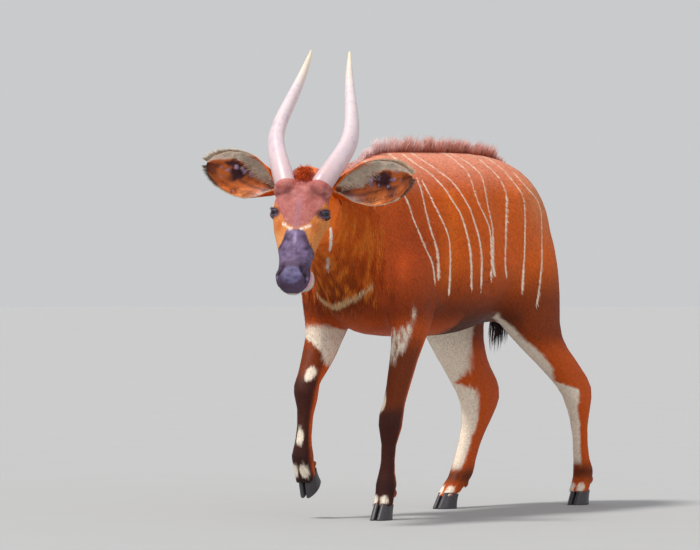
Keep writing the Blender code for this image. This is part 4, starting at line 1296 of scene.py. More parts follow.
        lip = ease(-0.0855 - out + 0.5 * fine, 0.0, 0.003) * ease(along, 0.345, 0.362)
        rim = soft_spot((out, -0.0845, 0.0028)) * ease(along, 0.345, 0.36)
        chin = ease(-0.095 - out + fine, 0.0, 0.006) * ease(along, 0.29, 0.33)
        colour = layered(
            colour,
            (ORANGE, 0.8 * ease(along, -0.05, 0.02)),
            (TAN, 0.92 * tan),
            (RED_BROWN, 0.55 * smudge),
            (PALE_TAN, 0.5 * tan * ease(clouds, 0.0, 0.6)),
            (dusk, brow),
            (DEEP_PLUM, 0.3 * streak),
            (slate, bridge * ease(out, -0.150, -0.105)),
            (dark, 0.9 * muzzle),
            (pad, self.pad_share(points)),
            (GREY_CREAM, lip),
            (CREAM, 0.85 * rim),
            (CHIN_CREAM, 0.9 * chin),
        )
        folded = np.column_stack((along, aside, out))
        for number, (line, reach) in enumerate(FACE_MARKS):
            away, _ = along_lines(folded, smooth_rows(line, 3))
            if number:
                away = np.where(across > 0, 1.0, away)
            mark = 1 - ease(away + fine * 0.5, reach * 0.6, reach * 1.25)
            colour = blend(colour, FACE_MARK_CREAM, 0.9 * mark)
        # Painted shade fills the sunken nostrils.
        away, _ = along_lines(folded, NOSTRIL)
        colour = blend(colour, NOSTRIL_SHADE, 1 - ease(away, 0.0062, 0.0098))
        for place in NOSTRIL_GLINTS:
            away = np.linalg.norm(folded - np.array(place), axis=1)
            colour = blend(colour, NOSTRIL_LILAC, 0.6 * (1 - ease(away, 0.002, 0.009)))
        out_way, slit, up = (HEAD_AXES.T @ way for way in eye_axes(1))
        beside = folded - np.array(EYE_CENTRE)
        opening = np.hypot(beside @ slit / EYE_LONG, beside @ up / EYE_HIGH)
        opening += 10 * (beside @ out_way < 0)
        return layered(
            colour,
            (SOCKET_BROWN, 0.7 * (1 - ease(opening, 1.5, 2.3))),
            (SOCKET_PLUM, 0.92 * (1 - ease(opening, 1.2, 1.55))),
        )

    def pad_share(self, points):
        """The bare rounded nose pad between the nostrils."""
        along, across, out = in_face(points).T
        level = (along - 0.387 - 0.55 * (out + 0.035)) / 0.033
        pad = 1 - ease((across / 0.030) ** 2 + level**2, 0.75, 1.25)
        return pad * ease(out, -0.075, -0.068)

    def colour(self, points):
        """The coat's colour at each point, as linear light."""
        place = points - ORIGIN
        colour = self.body(place)
        for name, marks in LEGS.items():
            front = "fore" in name
            mine = (place[:, 2] < 0.76) & (place[:, 0] * marks["side"] > 0)
            mine &= (place[:, 1] < 0.30) if front else (place[:, 1] >= 0.38)
            if not front:
                mine &= ~((place[:, 1] > 0.93) & (place[:, 2] > 0.62) & (place[:, 0] < 0.02))
            colour[mine] = self.leg(colour[mine], place[mine], name)
        head = ahead_of_neck(points) > -0.02
        colour[head] = self.head(colour[head], points[head])
        ragged = noise(points, 150, 8) * 0.004
        for line in self.cheek:
            beside, _ = along_lines(points, line)
            mark = 1 - ease(beside + 0.4 * ragged, 0.0040, 0.0072)
            colour = blend(colour, CHEEK_WHITE, 0.97 * mark)
        away, _ = along_lines(points, self.chest)
        band = (1 - ease(away + ragged, 0.001, 0.010)) * (points[:, 1] < -0.15)
        stripes = self.stripe_share(place)
        return np.clip(layered(colour, (CHEST_GOLD, 0.7 * band), (STRIPE_CREAM, 0.98 * stripes)), 0, 1)


def refine(obj, near_mark, longest):
    """Splits long edges of the skin near its narrow markings, so that they stay crisp."""
    bm = bmesh.new()
    bm.from_mesh(obj.data)
    for _ in range(3):
        points = np.array([vert.co for vert in bm.verts])
        bm.verts.index_update()
        near = near_mark(points)
        picked = []
        for edge in bm.edges:
            a, b = edge.verts
            if (near[a.index] or near[b.index]) and edge.calc_length() > longest:
                picked.append(edge)
        if not picked:
            break
        bmesh.ops.subdivide_edges(bm, edges=picked, cuts=1)
        bmesh.ops.triangulate(bm, faces=bm.faces)
    bm.to_mesh(obj.data)
    bm.free()


def paint(obj, colours):
    """Keeps a colour for each point of a piece, for its material to read."""
    layer = obj.data.color_attributes.new("coat", "FLOAT_COLOR", "POINT")
    full = np.column_stack((colours, np.ones(len(colours))))
    layer.data.foreach_set("color", full.astype(np.float32).reshape(-1))


def unwrap(obj):
    """Lays the skin's own surface out flat, for the colours of the tufts that grow on it."""
    make_active(obj)
    bpy.ops.object.mode_set(mode="EDIT")
    bpy.ops.mesh.select_all(action="SELECT")
    bpy.ops.uv.smart_project(angle_limit=1.15, island_margin=0.001)
    bpy.ops.object.mode_set(mode="OBJECT")
    obj.data.uv_layers[0].name = "OFBake"


class Ground:
    """A painted piece as ground that hair grows on."""

    def __init__(self, obj):
        mesh = obj.data
        mesh.calc_loop_triangles()
        count = len(mesh.loop_triangles)
        corners = np.empty(count * 3, int)
        mesh.loop_triangles.foreach_get("vertices", corners)
        self.corners = corners.reshape(-1, 3)
        loops = np.empty(count * 3, int)
        mesh.loop_triangles.foreach_get("loops", loops)
        uv = np.empty(len(mesh.loops) * 2)
        mesh.uv_layers["OFBake"].data.foreach_get("uv", uv)
        self.uv = uv.reshape(-1, 2)[loops.reshape(-1, 3)]
        self.points = points_of(mesh)
        self.normals = normals_of(mesh)
        a, b, c = (self.points[self.corners[:, i]] for i in range(3))
        self.area = np.linalg.norm(np.cross(b - a, c - a), axis=1) / 2
        self.centres = (a + b + c) / 3
        self.tree = BVHTree.FromPolygons(self.points.tolist(), self.corners.tolist())

    def height(self, x, y):
        """How high the ground lies at a place seen from above."""
        return self.tree.ray_cast(Vector((x, y, 2.0)), Vector((0, 0, -1)))[0].z

    def under(self, points):
        """The unwrapped place of the ground nearest to each point."""
        found = [self.tree.find_nearest(point)[2] for point in points.tolist()]
        return self.uv[found].mean(axis=1)

    def roots(self, spacing, share=1):
        """Places for hair, one on each square of the given side, where share is not 0."""
        weight = self.area * share
        total = weight.sum()
        count = int(total / spacing**2)
        steps = (np.arange(count) + rng.random(count)) / count * total
        picked = np.searchsorted(np.cumsum(weight), steps)
        picked = np.minimum(picked, len(weight) - 1)
        a = np.sqrt(rng.random(count))
        b = rng.random(count)
        mix = np.column_stack((1 - a, a * (1 - b), a * b))[:, :, None]
        points = (self.points[self.corners[picked]] * mix).sum(axis=1)
        normals = unit((self.normals[self.corners[picked]] * mix).sum(axis=1))
        return points, normals, (self.uv[picked] * mix).sum(axis=1)


def lie(points, normals):
    """The way that the coat lies: tailward and down, down the legs, up the face."""
    _, y, z = (points - ORIGIN).T
    way = many((0.0, 0.88, -0.45), len(points))
    way = blend(way, (0.0, 0.65, -0.80), ease(1.15 - z, 0.0, 0.25))
    way = blend(way, (0.0, 0.10, -1.0), ease(y, 0.84, 0.97))
    way = blend(way, (-0.10, 0.62, -0.78), ease(-y, 0.12, 0.30))
    way = blend(way, (0.0, 0.15, -1.0), ease(0.68 - z, 0.0, 0.14))
    face = -HEAD_AXES[:, 0] - 0.35 * HEAD_AXES[:, 2]
    local = in_head(points)
    sweep = face + np.outer(local[:, 1] * 5.0, HEAD_AXES[:, 1])
    way = way + (sweep - way) * ease(ahead_of_neck(points), -0.01, 0.05)[:, None]
    stir = np.column_stack([noise(points, 11, seed) for seed in (21, 22, 23)])
    return tangent(way + 0.22 * stir, normals)


def blades(name, roots, way, flat, size, bend, colours, uv, steps=1, shade=None):
    """Locks of hair as one piece. Each is a closed three-sided blade that tapers to a tip.

    size holds length, width and thickness; colours hold the root's and the tip's."""
    count = len(roots)
    length, width, thick = (np.broadcast_to(value, count)[:, None] for value in size)
    flat = tangent(flat, way)
    rings = []
    tints = []
    place = roots
    heading = way
    lifts = []
    for step in range(steps + 1):
        t = step / steps
        taper = 1 - 0.85 * t**1.5
        across = np.cross(heading, flat)
        if step < steps:
            rings.append(place - across * width / 2 * taper)
            rings.append(place + flat * thick * taper)
            rings.append(place + across * width / 2 * taper)
            lifts += [(-1, t), (0, t), (1, t)]
            tints += [colours[0] + (colours[1] - colours[0]) * t] * 3
        else:
            rings.append(place)
            lifts.append((0, 1))
            tints.append(colours[1])
        heading = unit(heading + bend / steps)
        flat = tangent(flat, heading)
        place = place + heading * length / steps
    points = np.stack(rings, axis=1)
    per = points.shape[1]
    faces = [(0, 2, 1)]
    for ring in range(steps - 1):
        for k in range(3):
            a = 3 * ring + k
            b = 3 * ring + (k + 1) % 3
            faces += [(a, b, a + 3), (b, b + 3, a + 3)]
    last = 3 * (steps - 1)
    faces += [(last + k, last + (k + 1) % 3, per - 1) for k in range(3)]
    faces = np.array(faces)
    corners = (faces[None] + per * np.arange(count)[:, None, None]).reshape(-1, 3)
    mesh = bpy.data.meshes.new(name)
    mesh.vertices.add(count * per)
    mesh.vertices.foreach_set("co", points.astype(np.float32).reshape(-1))
    mesh.loops.add(corners.size)
    mesh.loops.foreach_set("vertex_index", corners.astype(np.int32).reshape(-1))
    mesh.polygons.add(len(corners))
    mesh.polygons.foreach_set("loop_start", np.arange(0, corners.size, 3, dtype=np.int32))
    mesh.update(calc_edges=True)
    offsets = np.array(lifts) * BLADE_PATCH - (0, BLADE_PATCH[0])
    patch = (uv[:, None] + offsets[None]).reshape(-1, 2)[corners.reshape(-1)]
    mesh.uv_layers.new(name="OFBake").data.foreach_set("uv", patch.astype(np.float32).reshape(-1))
    obj = add_object(name, mesh)
    paint(obj, np.stack(tints, axis=1).reshape(-1, 3))
    mesh.shade_smooth()
    if shade is not None:
        sides = np.array([side for side, _ in lifts])[None, :, None]
        spread = unit(np.cross(way, shade))[:, None] * sides * BLADE_ROUND
        soft = unit((shade[:, None] + spread).reshape(-1, 3))
        mesh.normals_split_custom_set_from_vertices(soft.tolist())
    return obj


def varied(colours, light, warmth):
    """Colours that differ from tuft to tuft."""
    count = len(colours)
    shine = 1 + light * rng.normal(size=(count, 1))
    warm = 1 + warmth * rng.normal(size=(count, 1)) * np.array((0.4, -0.5, -1.0))
    return np.clip(colours * np.clip(shine, 0.4, 1.8) * warm, 0.002, 1)


def hair_size(name, count, reach=1):
    """Length, width and thickness of each hair of a piece."""
    length, width, thick = HAIR_SIZES[name]
    long = rng.uniform(*length, count)
    wide = rng.uniform(*width, count) if isinstance(width, tuple) else width
    return long * reach, wide, thick


def short_coat(name, ground, marks, where, tufts):
    """Short tufts that lie along the body and overlap like tiles."""
    spacing, length, width, rise = tufts
    points, normals, uv = ground.roots(spacing, where)
    way = lie(points, normals)
    count = len(points)
    long = length * rng.uniform(0.7, 1.25, count)
    wide = width * rng.uniform(0.7, 1.3, count)
    stray = rng.normal(size=(count, 1)) * 0.16
    across = np.cross(way, normals)
    heading = unit(way + across * stray + normals * (rise * rng.uniform(0.5, 1.5, (count, 1))))
    tint = varied(marks.colour(points), 0.19, 0.08)
    shade = unit(normals + across * rng.normal(size=(count, 1)) * 0.16)
    roots = points - normals * TUFT_SUNK
    size = (long, wide, wide * TUFT_THICK)
    tints = (tint * 0.72, np.clip(tint * 1.16, 0, 1))
    return blades(name, roots, heading, normals, size, -normals * 0.12, tints, uv, 1, shade)


def make_horn(side, name):
    """A smooth horn with a soft keel that turns once round it, from the skull to the tip."""
    middle, radii, left = horn_axis(side, 12)
    turns = np.linspace(0, 2 * math.pi, 48, endpoint=False)
    rings = []
    for i, radius in enumerate(radii):
        keel = 1 + 0.10 * np.cos(2 * (turns - side * 2.4 * i / len(radii)))
        ripple = 1 + 0.010 * math.sin(i * 1.9) * max(0.0, 1 - i / 50)
        rings.append(ring_round(middle, i, left, turns, radius * keel * ripple))
    obj = loft(name, rings)
    obj.data.shade_smooth()
    _, place = along_lines(points_of(obj.data), middle)
    level = obj.data.attributes.new("level", "FLOAT", "POINT")
    level.data.foreach_set("value", place.astype(np.float32))
    return obj


def ring_round(path, i, guide, turns, wide, high=None):
    """A ring round a place of a path, as wide as given towards the guide's side."""
    ahead = path[min(i + 1, len(path) - 1)] - path[max(i - 1, 0)]
    ahead = ahead / np.linalg.norm(ahead)
    u = guide - ahead * guide.dot(ahead)
    u = u / np.linalg.norm(u)
    v = np.cross(ahead, u)
    high = wide if high is None else high
    return path[i] + (np.cos(turns) * wide)[:, None] * u + (np.sin(turns) * high)[:, None] * v


def loft(name, rings):
    """A closed tube through rings that have the same number of points."""
    bm = bmesh.new()
    rows = [[bm.verts.new(point) for point in ring] for ring in rings]
    count = len(rows[0])
    for near, far in zip(rows, rows[1:]):
        for i in range(count):
            j = (i + 1) % count
            bm.faces.new((near[i], near[j], far[j], far[i]))
    caps = [bm.faces.new(rows[0]), bm.faces.new(rows[-1])]
    bmesh.ops.poke(bm, faces=caps)
    bmesh.ops.recalc_face_normals(bm, faces=bm.faces)
    return object_of(name, bm)


def ear_place(side, t, share, lift):
    """Points and outward normals of an ear, t from root to tip and share across its cup."""
    root, way = ear_way(side)
    open_to = np.array((0.55, 0.0, 0.75)) if side > 0 else np.array((0.62, 0.10, 0.70))
    face = open_to - way * open_to.dot(way)
    face = face / np.linalg.norm(face)
    across = np.cross(way, face)
    rows = smooth_rows(EAR, 6)
    half = np.interp(t, rows[:, 0], rows[:, 1])
    bend = np.radians(np.interp(t, rows[:, 0], rows[:, 2]))
    radius = half / np.sin(np.minimum(bend, math.pi / 2))
    turn = bend * share
    line = np.sin(turn)[:, None] * across - np.cos(turn)[:, None] * face
    centre = root + np.outer(t * EAR_LENGTH, way) + np.outer(radius * 0.6, face)
    centre = centre - np.outer(0.016 * np.sin(math.pi * t), face)
    local = centre + line * (radius + lift)[:, None]
    return out_of_head(local), line @ HEAD_AXES.T


def ear_top(side):
    """Which edge of an ear is the upper one: 1 or -1."""
    ends, _ = ear_place(side, np.array((0.5, 0.5)), np.array((-1.0, 1.0)), 0)
    return 1 if ends[1, 2] > ends[0, 2] else -1


def ear_colour(side, t, share, inside):
    """Orange back, cream hair under the upper rim, dark skin inside, tan lower half."""
    up = share * ear_top(side)
    laid_out = np.column_stack((t * 0.28, share * 0.07, t * 0))
    spots = noise(laid_out, 95, 31)
    if not inside:
        back = blend(many(ORANGE, len(t)), CHESTNUT, 0.5 + 0.5 * spots)
        return blend(back, BLACKISH, 0.8 * ease(t, 0.90, 1.0))
    fleck = noise(laid_out, 240, 32)
    low = ease(-up + 0.2 * spots, 0.35, 0.8) * ease(0.7 - t, 0.0, 0.3)
    outer = ease(t + 0.2 * spots, 0.70, 0.90) * ease(0.45 - up, 0.0, 0.4)
    edge = 0.08 + 0.40 * ease(t, 0.32, 0.62) + 0.10 * spots + 0.05 * fleck
    middle = soft_spot((up, 0.16 - 0.4 * (t - 0.6), 0.36), (t, 0.64, 0.23))
    canal = ease(0.36 - t, 0.0, 0.14) * soft_spot((up, -0.12, 0.34))
    line = soft_spot((up, 0.25 * t - 0.42 - 0.04 * fleck, 0.06)) * ease(t, 0.15, 0.35)
    tip = ease(t, 0.93, 0.98) * ease(0.4 - up, 0.0, 0.3)
    return layered(
        many(EAR_TAN, len(t)),
        (EAR_PALE_TAN, low),
        (EAR_BROWN, 0.85 * outer),
        (EAR_CREAM, ease(up - edge, -0.06, 0.16)),
        (EAR_DARK, 0.94 * ease(middle + 0.45 * spots + 0.45 * fleck, 0.30, 0.80)),
        (EAR_LILAC, ease(middle + 0.9 * fleck - 0.5 * spots, 1.0, 1.3)),
        (BLACKISH, 0.85 * canal),
        (EAR_LINE, 0.7 * line * ease(0.75 - t, 0.0, 0.2)),
        (EAR_ROOT_PINK, 1.1 * soft_spot((up, -0.72, 0.26), (t, 0.24, 0.12))),
        (ORANGE, ease(up, 0.86, 0.97) * ease(0.62 - t, 0.0, 0.2)),
        (EAR_TIP, 0.7 * tip),
    )


def make_ear(side, name):
    """A thin cupped ear with soft ribs, painted inside and out."""
    rings = []
    colours = []
    shares = np.linspace(-1, 1, EAR_POINTS)
    for t in np.linspace(0, 1, EAR_RINGS):
        level = np.full(EAR_POINTS, t)
        thick = EAR_THICK - EAR_THINNER * float(ease(t, 0.14, 0.38))
        edge = thick * (1 - 0.6 * np.abs(shares) ** 4)
        rib = 0.0010 * np.cos(shares * 9) * float(ease(t, 0.2, 0.4))
        wave = 0.0016 * np.sin(t * 37 + shares * 3) * np.abs(shares) ** 3
        outer, _ = ear_place(side, level, shares, edge + wave)
        inner, _ = ear_place(side, level, shares, -edge + rib + wave)
        rings.append(np.vstack((outer, inner[::-1])))
        colours.append(ear_colour(side, level, shares, False))
        colours.append(ear_colour(side, level, shares, True)[::-1])
    obj = loft(name, rings)
    tips = ear_colour(side, np.array((0.0, 1.0)), np.zeros(2), False)
    paint(obj, np.vstack((*colours, tips)))
    obj.data.shade_smooth()
    unwrap(obj)
    return obj


def ear_hair(side, which):
    """Long pale hair in the ear, a ragged fringe on its rim, short hair on its back."""
    top = ear_top(side)
    pieces = []
    tip_way = HEAD_AXES @ ear_way(side)[1]

    count = HAIR_COUNT["inner"]
    t = rng.uniform(0.05, 0.92, count)
    up = rng.uniform(0.02, 0.97, count)
    keep = up > 0.06 + 0.42 * ease(t, 0.32, 0.62) + 0.10 * rng.normal(size=count)
    t, up = t[keep], up[keep]
    count = len(t)
    roots, line = ear_place(side, t, up * top, -EAR_LINING)
    down, _ = ear_place(side, t, (up - 0.1) * top, -EAR_LINING)
    heading = unit(tip_way * 0.75 + unit(down - roots) * 0.55 - line * 0.22)
    tint = varied(many(EAR_HAIR, count), 0.12, 0.04)
    upper = ease(up + rng.normal(size=count) * 0.05, 0.86, 0.95) * ease(0.62 - t, 0.0, 0.2)
    tint = blend(tint, ORANGE, upper)
    size = hair_size("inner", count)
    uv = np.column_stack((t, up * 0.5))
    pieces.append(("inner", roots, heading, -line, size, line * 0.25, (tint * 0.88, tint), uv, 2))

    count = HAIR_COUNT["lining"]
    t = rng.uniform(0.08, 0.97, count)
    up = rng.uniform(-0.97, 0.15, count)
    roots, line = ear_place(side, t, up * top, -EAR_LINING)
    heading = unit(tip_way + 0.15 * rng.normal(size=(count, 3)) - line * 0.12)
    tint = varied(ear_colour(side, t, up * top, True), 0.15, 0.06)
    size = hair_size("lining", count)
    uv = np.column_stack((t, 0.5 + up * 0.4))
    pieces.append(("lining", roots, heading, -line, size, line * 0.2, (tint * 0.8, tint), uv, 1))

    count = HAIR_COUNT["rim"]
    t = 1 - rng.random(count) ** 1.5 * 0.92
    edge = rng.choice((-1, 1), count)
    roots, line = ear_place(side, t, edge * 0.985, 0)
    within, _ = ear_place(side, t, edge * 0.80, 0)
    outward = unit(roots - within)
    heading = unit(outward * 0.55 + tip_way * 0.85 + 0.12 * rng.normal(size=(count, 3)))
    tint = many(RIM_HAIR, count)
    dark = (edge * top < 0) & (t > 0.80)
    tint = blend(tint, RIM_DARK, 0.85 * (dark | (rng.random(count) < 0.15)))
    tint = blend(tint, ORANGE, 0.8 * ease(0.60 - t, 0.0, 0.2) * (edge * top > 0))
    tint = varied(tint, 0.15, 0.05)
    upper = np.where((edge * top > 0) & (t > 0.5), 1.5, 1.0)
    size = hair_size("rim", count, (0.5 + t) * upper)
    uv = np.column_stack((t, 0.5 + edge * 0.49))
    pieces.append(("rim", roots, heading, line, size, -line * 0.1, (tint * 0.85, tint), uv, 2))

    count = HAIR_COUNT["back"]
    t = rng.uniform(0.02, 0.98, count)
    share = rng.uniform(-0.98, 0.98, count)
    thick = EAR_HAIR_ROOTS - EAR_THINNER * ease(t, 0.14, 0.38)
    roots, line = ear_place(side, t, share, thick)
    heading = unit(tip_way + 0.14 * rng.normal(size=(count, 3)) + line * 0.16)
    tint = varied(ear_colour(side, t, share, False), 0.13, 0.06)
    size = hair_size("back", count)
    uv = np.column_stack((t, 0.5 + share * 0.45))
    pieces.append(("back", roots, heading, line, size, -line * 0.1, (tint * 0.85, tint), uv, 1))

    return [blades(f"ear_{which}_{kind}_hair", *settings) for kind, *settings in pieces]


def make_hoof(name, place, heading, pitch, side):
    """One claw of a cloven hoof: rounded edges, a worn toe and faint growth rings."""
    turn = Matrix.Rotation(heading, 4, "Z") @ Matrix.Rotation(math.radians(pitch), 4, "X")
    base = Matrix(((0, 1, 0), (-1, 0, 0), (0, 0, 1))).to_4x4()
    foot = Matrix.Translation(Vector(place) + SHIFT) @ turn @ base
    turns = np.linspace(0, 2 * math.pi, HOOF_POINTS, endpoint=False)
    rings = []
    for i, t in enumerate((0.0, 0.0, 0.03, 0.08, *np.linspace(0.14, 1.0, 16))):
        toe = HOOF_TOE[0] - HOOF_TOE[1] * t
        heel = -HOOF_HEEL[0] + HOOF_HEEL[1] * t + 0.012 * (1 - t) * t
        wide = HOOF_WIDE[0] - HOOF_WIDE[1] * t
        inner = HOOF_CLEFT[0] + HOOF_CLEFT[1] * t
        draw = (0.90, 0.955, 0.985, 1.0)[min(i, 3)] - 0.006 * (i % 2)
        along = (toe + heel) / 2 + (toe - heel) / 2 * np.cos(turns) * draw
        lean = 1 - 0.42 * np.maximum(0.0, np.cos(turns)) ** 2
        out = np.sin(turns)
        middle = inner + HOOF_MIDDLE
        outer = middle + (wide - inner - HOOF_MIDDLE) * np.abs(out) ** 0.8 * lean * draw
        near = middle - HOOF_MIDDLE * np.abs(out) ** 0.35 * draw
        across = np.where(out >= 0, outer, near)
        rise = HOOF_HEIGHT * t * np.where(along > 0, 1.0, 1.0 + 3.0 * along * t)
        rings.append([foot @ Vector((a, side * b, c)) for a, b, c in zip(along, across, rise)])
    obj = loft(name, rings)
    obj.data.shade_smooth()
    return obj


def make_tail():
    """The tail's core, from inside the rump to its tip."""
    rows = smooth_rows(TAIL, 8)
    line = rows[:, :3] + ORIGIN
    turns = np.linspace(0, 2 * math.pi, 28, endpoint=False)
    right = np.array((1.0, 0, 0))
    rings = [ring_round(line, i, right, turns, row[3] - TAIL_COAT) for i, row in enumerate(rows)]
    obj = loft("tail_core", rings)
    obj.data.shade_smooth()
    points = points_of(obj.data)
    _, place = along_lines(points, line)
    colour = blend(many(CHESTNUT, len(points)), BLACKISH, ease(place, *TAIL_BLACKENS))
    paint(obj, colour)
    unwrap(obj)
    return obj


def tail_hair(ground):
    """Short chestnut hair on the tail, and the black tuft at its end."""
    rows = smooth_rows(TAIL, 8)
    line = rows[:, :3] + ORIGIN
    points, normals, uv = ground.roots(HAIR_SPACING["tail_short_hair"])
    _, place = along_lines(points, line)
    course = np.gradient(line, axis=0)
    way = course[np.clip((place * (len(line) - 1)).astype(int), 0, len(line) - 1)]
    heading = unit(tangent(way, normals) + 0.18 * normals + 0.1 * rng.normal(size=points.shape))
    tint = blend(many(CHESTNUT, len(points)), BLACKISH, ease(place, *TAIL_BLACKENS))
    tint = varied(tint, 0.15, 0.08)
    size = hair_size("tail_short_hair", len(points))
    tints = (tint * 0.85, tint)
    short = blades("tail_short_hair", points, heading, normals, size, -normals * 0.1, tints, uv)
    _, place = along_lines(ground.centres, line)
    share = (place > TUFT_START).astype(float)
    points, normals, uv = ground.roots(HAIR_SPACING["tail_tuft"], share)
    count = len(points)
    way = normals * 0.55 + np.array((-0.10, -0.05, -1.0))
    heading = unit(way + 0.12 * rng.normal(size=(count, 3)))
    tint = varied(many(TAIL_BLACK, count), 0.35, 0.25)
    size = hair_size("tail_tuft", count)
    bend = np.array((0, 0, -0.9)) - normals * 0.55
    tints = (tint * 0.7, tint * 1.5)
    return [short, blades("tail_tuft", points, heading, normals, size, bend, tints, uv, 4)]


def make_mane(ground):
    """Upright locks in a row along the ridge, from the nape to the loins."""
    ridge = smooth_rows(RIDGE, 8) + ORIGIN
    ridge = ridge[np.argsort(ridge[:, 1])]
    count = MANE_LOCKS
    y = rng.uniform(MANE_START + SHIFT.y, MANE_STOP + SHIFT.y, count)
    source = np.random.default_rng(3)
    lean_of = source.normal(size=MANE_CLUMPS)
    sway_of = source.normal(size=MANE_CLUMPS)
    tall_of = source.uniform(0.70, 1.12, MANE_CLUMPS)
    key = ((y - y.min()) / MANE_CLUMP).astype(int)
    across = rng.uniform(-0.011, 0.011, count)
    x = np.interp(y, ridge[:, 1], ridge[:, 0]) + across
    z = np.array([ground.height(a, b) for a, b in zip(x.tolist(), y.tolist())]) - 0.004
    roots = np.column_stack((x, y, z))
    lean = 0.17 * lean_of[key] + across * 11 + 0.06 * rng.normal(size=count)
    sweep = 0.14 + 0.17 * sway_of[key] + 0.06 * rng.normal(size=count)
    heading = unit(np.column_stack((lean, sweep, np.ones(count))))
    bend = np.column_stack((0.20 * lean_of[key + 7], 0.35 + 0.1 * sway_of[key + 3], np.zeros(count)))
    place = y - SHIFT.y
    wane = ease(MANE_STOP - place, 0.0, 0.10)
    rows = np.array(MANE_HEIGHTS)
    tall = np.interp(place, rows[:, 0], rows[:, 1])
    tall = tall * (0.55 + 0.45 * wane) * tall_of[key] * rng.uniform(0.80, 1.10, count)
    pink = many(MANE_PINK, count)
    pale = soft_spot((place, -0.03, 0.13))
    root = blend(many(MANE_ROOT, count), MANE_PALE_ROOT, 0.7 * pale)
    root = blend(root, DARK_BROWN, 0.75 * (rng.random(count) < 0.22) * (1 - 0.6 * pale))
    tip = blend(pink, MANE_PALE, np.clip(0.85 * pale + 0.7 * rng.random(count), 0, 1))
    tip = blend(tip, MANE_DARK, 0.6 * (rng.random(count) < 0.18) * (1 - pale))
    flat = np.column_stack((np.ones(count), 0.4 * rng.normal(size=count), np.zeros(count)))
    size = (tall, rng.uniform(*MANE_WIDTH, count), MANE_THICK)
    uv = ground.under(roots)
    return blades("mane", roots, heading, flat, size, bend, (root, varied(tip, 0.12, 0.05)), uv, 3)


def poll_tuft(ground):
    """Bright hair that stands between the horns, behind the forehead."""
    count = HAIR_COUNT["poll_tuft"]
    along = rng.uniform(-0.020, 0.040, count)
    across = np.clip(rng.normal(size=count) * 0.017, -0.037, 0.037)
    local = np.column_stack((along, across, np.full(count, 0.002)))
    roots = out_of_head(local)
    lean = np.column_stack((rng.uniform(-0.5, 0.35, count), across * 9, np.ones(count)))
    heading = unit((lean + 0.22 * rng.normal(size=(count, 3))) @ HEAD_AXES.T)
    bend = np.outer(0.35 * rng.random(count), HEAD_AXES[:, 0])
    tint = varied(many(POLL_ORANGE, count), 0.22, 0.10)
    dome = np.maximum(1 - (across / 0.038) ** 2, 0.12)
    size = hair_size("poll_tuft", count, dome)
    flat = many(HEAD_AXES[:, 0], count) + 0.3 * rng.normal(size=(count, 3))
    uv = ground.under(roots)
    return blades("poll_tuft", roots, heading, flat, size, bend, (tint * 0.6, tint), uv, 2)


def chest_hair(ground, marks):
    """The pale crescent of long hair across the lower throat."""
    away, along = along_lines(ground.centres, marks.chest)
    ends = np.minimum(ease(along, 0.0, 0.25), ease(1 - along, 0.0, 0.30))
    share = 1 - ease(away, 0.001 + 0.002 * ends, 0.003 + 0.008 * ends)
    share = share * (ground.centres[:, 1] < -0.15)
    points, normals, uv = ground.roots(HAIR_SPACING["chest_crescent"], share)
    count = len(points)
    down = tangent(many((0.0, 0.1, -1.0), count), normals)
    lift = normals * rng.uniform(0.06, 0.24, (count, 1))
    heading = unit(down + lift + 0.14 * rng.normal(size=(count, 3)))
    tint = varied(many(CRESCENT, count), 0.14, 0.06)
    size = hair_size("chest_crescent", count)
    bend = many((0.0, 0.0, -0.35), count)
    return blades("chest_crescent", points, heading, normals, size, bend, (tint * 0.9, tint), uv, 2)


def face_near(points):
    """Which points lie on the front of the head, from the eyes down."""
    along, across, out = in_head(points).T
    return (along > 0.0) & (out > -0.118) & (np.abs(across) < 0.12) & (points[:, 2] > KNEES)


def neck_hair(ground, marks):
    """Longer streaked hair down the throat and the sides of the neck."""
    place = ground.centres - ORIGIN
    share = ease(-place[:, 1], 0.13, 0.24) * ease(1.12 - place[:, 2], 0.0, 0.10)
    share = share * ease(0.070 - ahead_of_neck(ground.centres), 0.0, 0.02)
    share = share * ease(place[:, 2], 0.68, 0.76) * ~face_near(ground.centres)
    points, normals, uv = ground.roots(HAIR_SPACING["neck_hair"], share)
    count = len(points)
    down = tangent(lie(points, normals) + np.array((0.0, -0.35, -0.7)), normals)
    lift = normals * rng.uniform(0.06, 0.22, (count, 1))
    heading = unit(down + lift + 0.08 * rng.normal(size=(count, 3)))
    tint = marks.colour(points)
    streak = noise(points * (1, 1, 0.16), 150, 41)
    low = ease(0.98 - points[:, 2], 0.0, 0.2)
    tint = blend(tint, NECK_SHADE, (0.10 + 0.30 * low) * ease(streak, 0.1, 0.7))
    tint = blend(tint, NECK_GOLD, 0.65 * ease(-streak, -0.1, 0.5))
    tint = varied(tint, 0.15, 0.08)
    near_head = ease(ahead_of_neck(points), -0.04, 0.03)
    reach = (1 + 0.6 * low) * (1 - 0.62 * near_head)
    size = hair_size("neck_hair", count, reach)
    bend = many((0.0, 0.0, -0.25), count) - normals * 0.15
    tints = (tint * 0.9, np.clip(tint * 1.25, 0, 1))
    return blades("neck_hair", points, heading, normals, size, bend, tints, uv, 2)


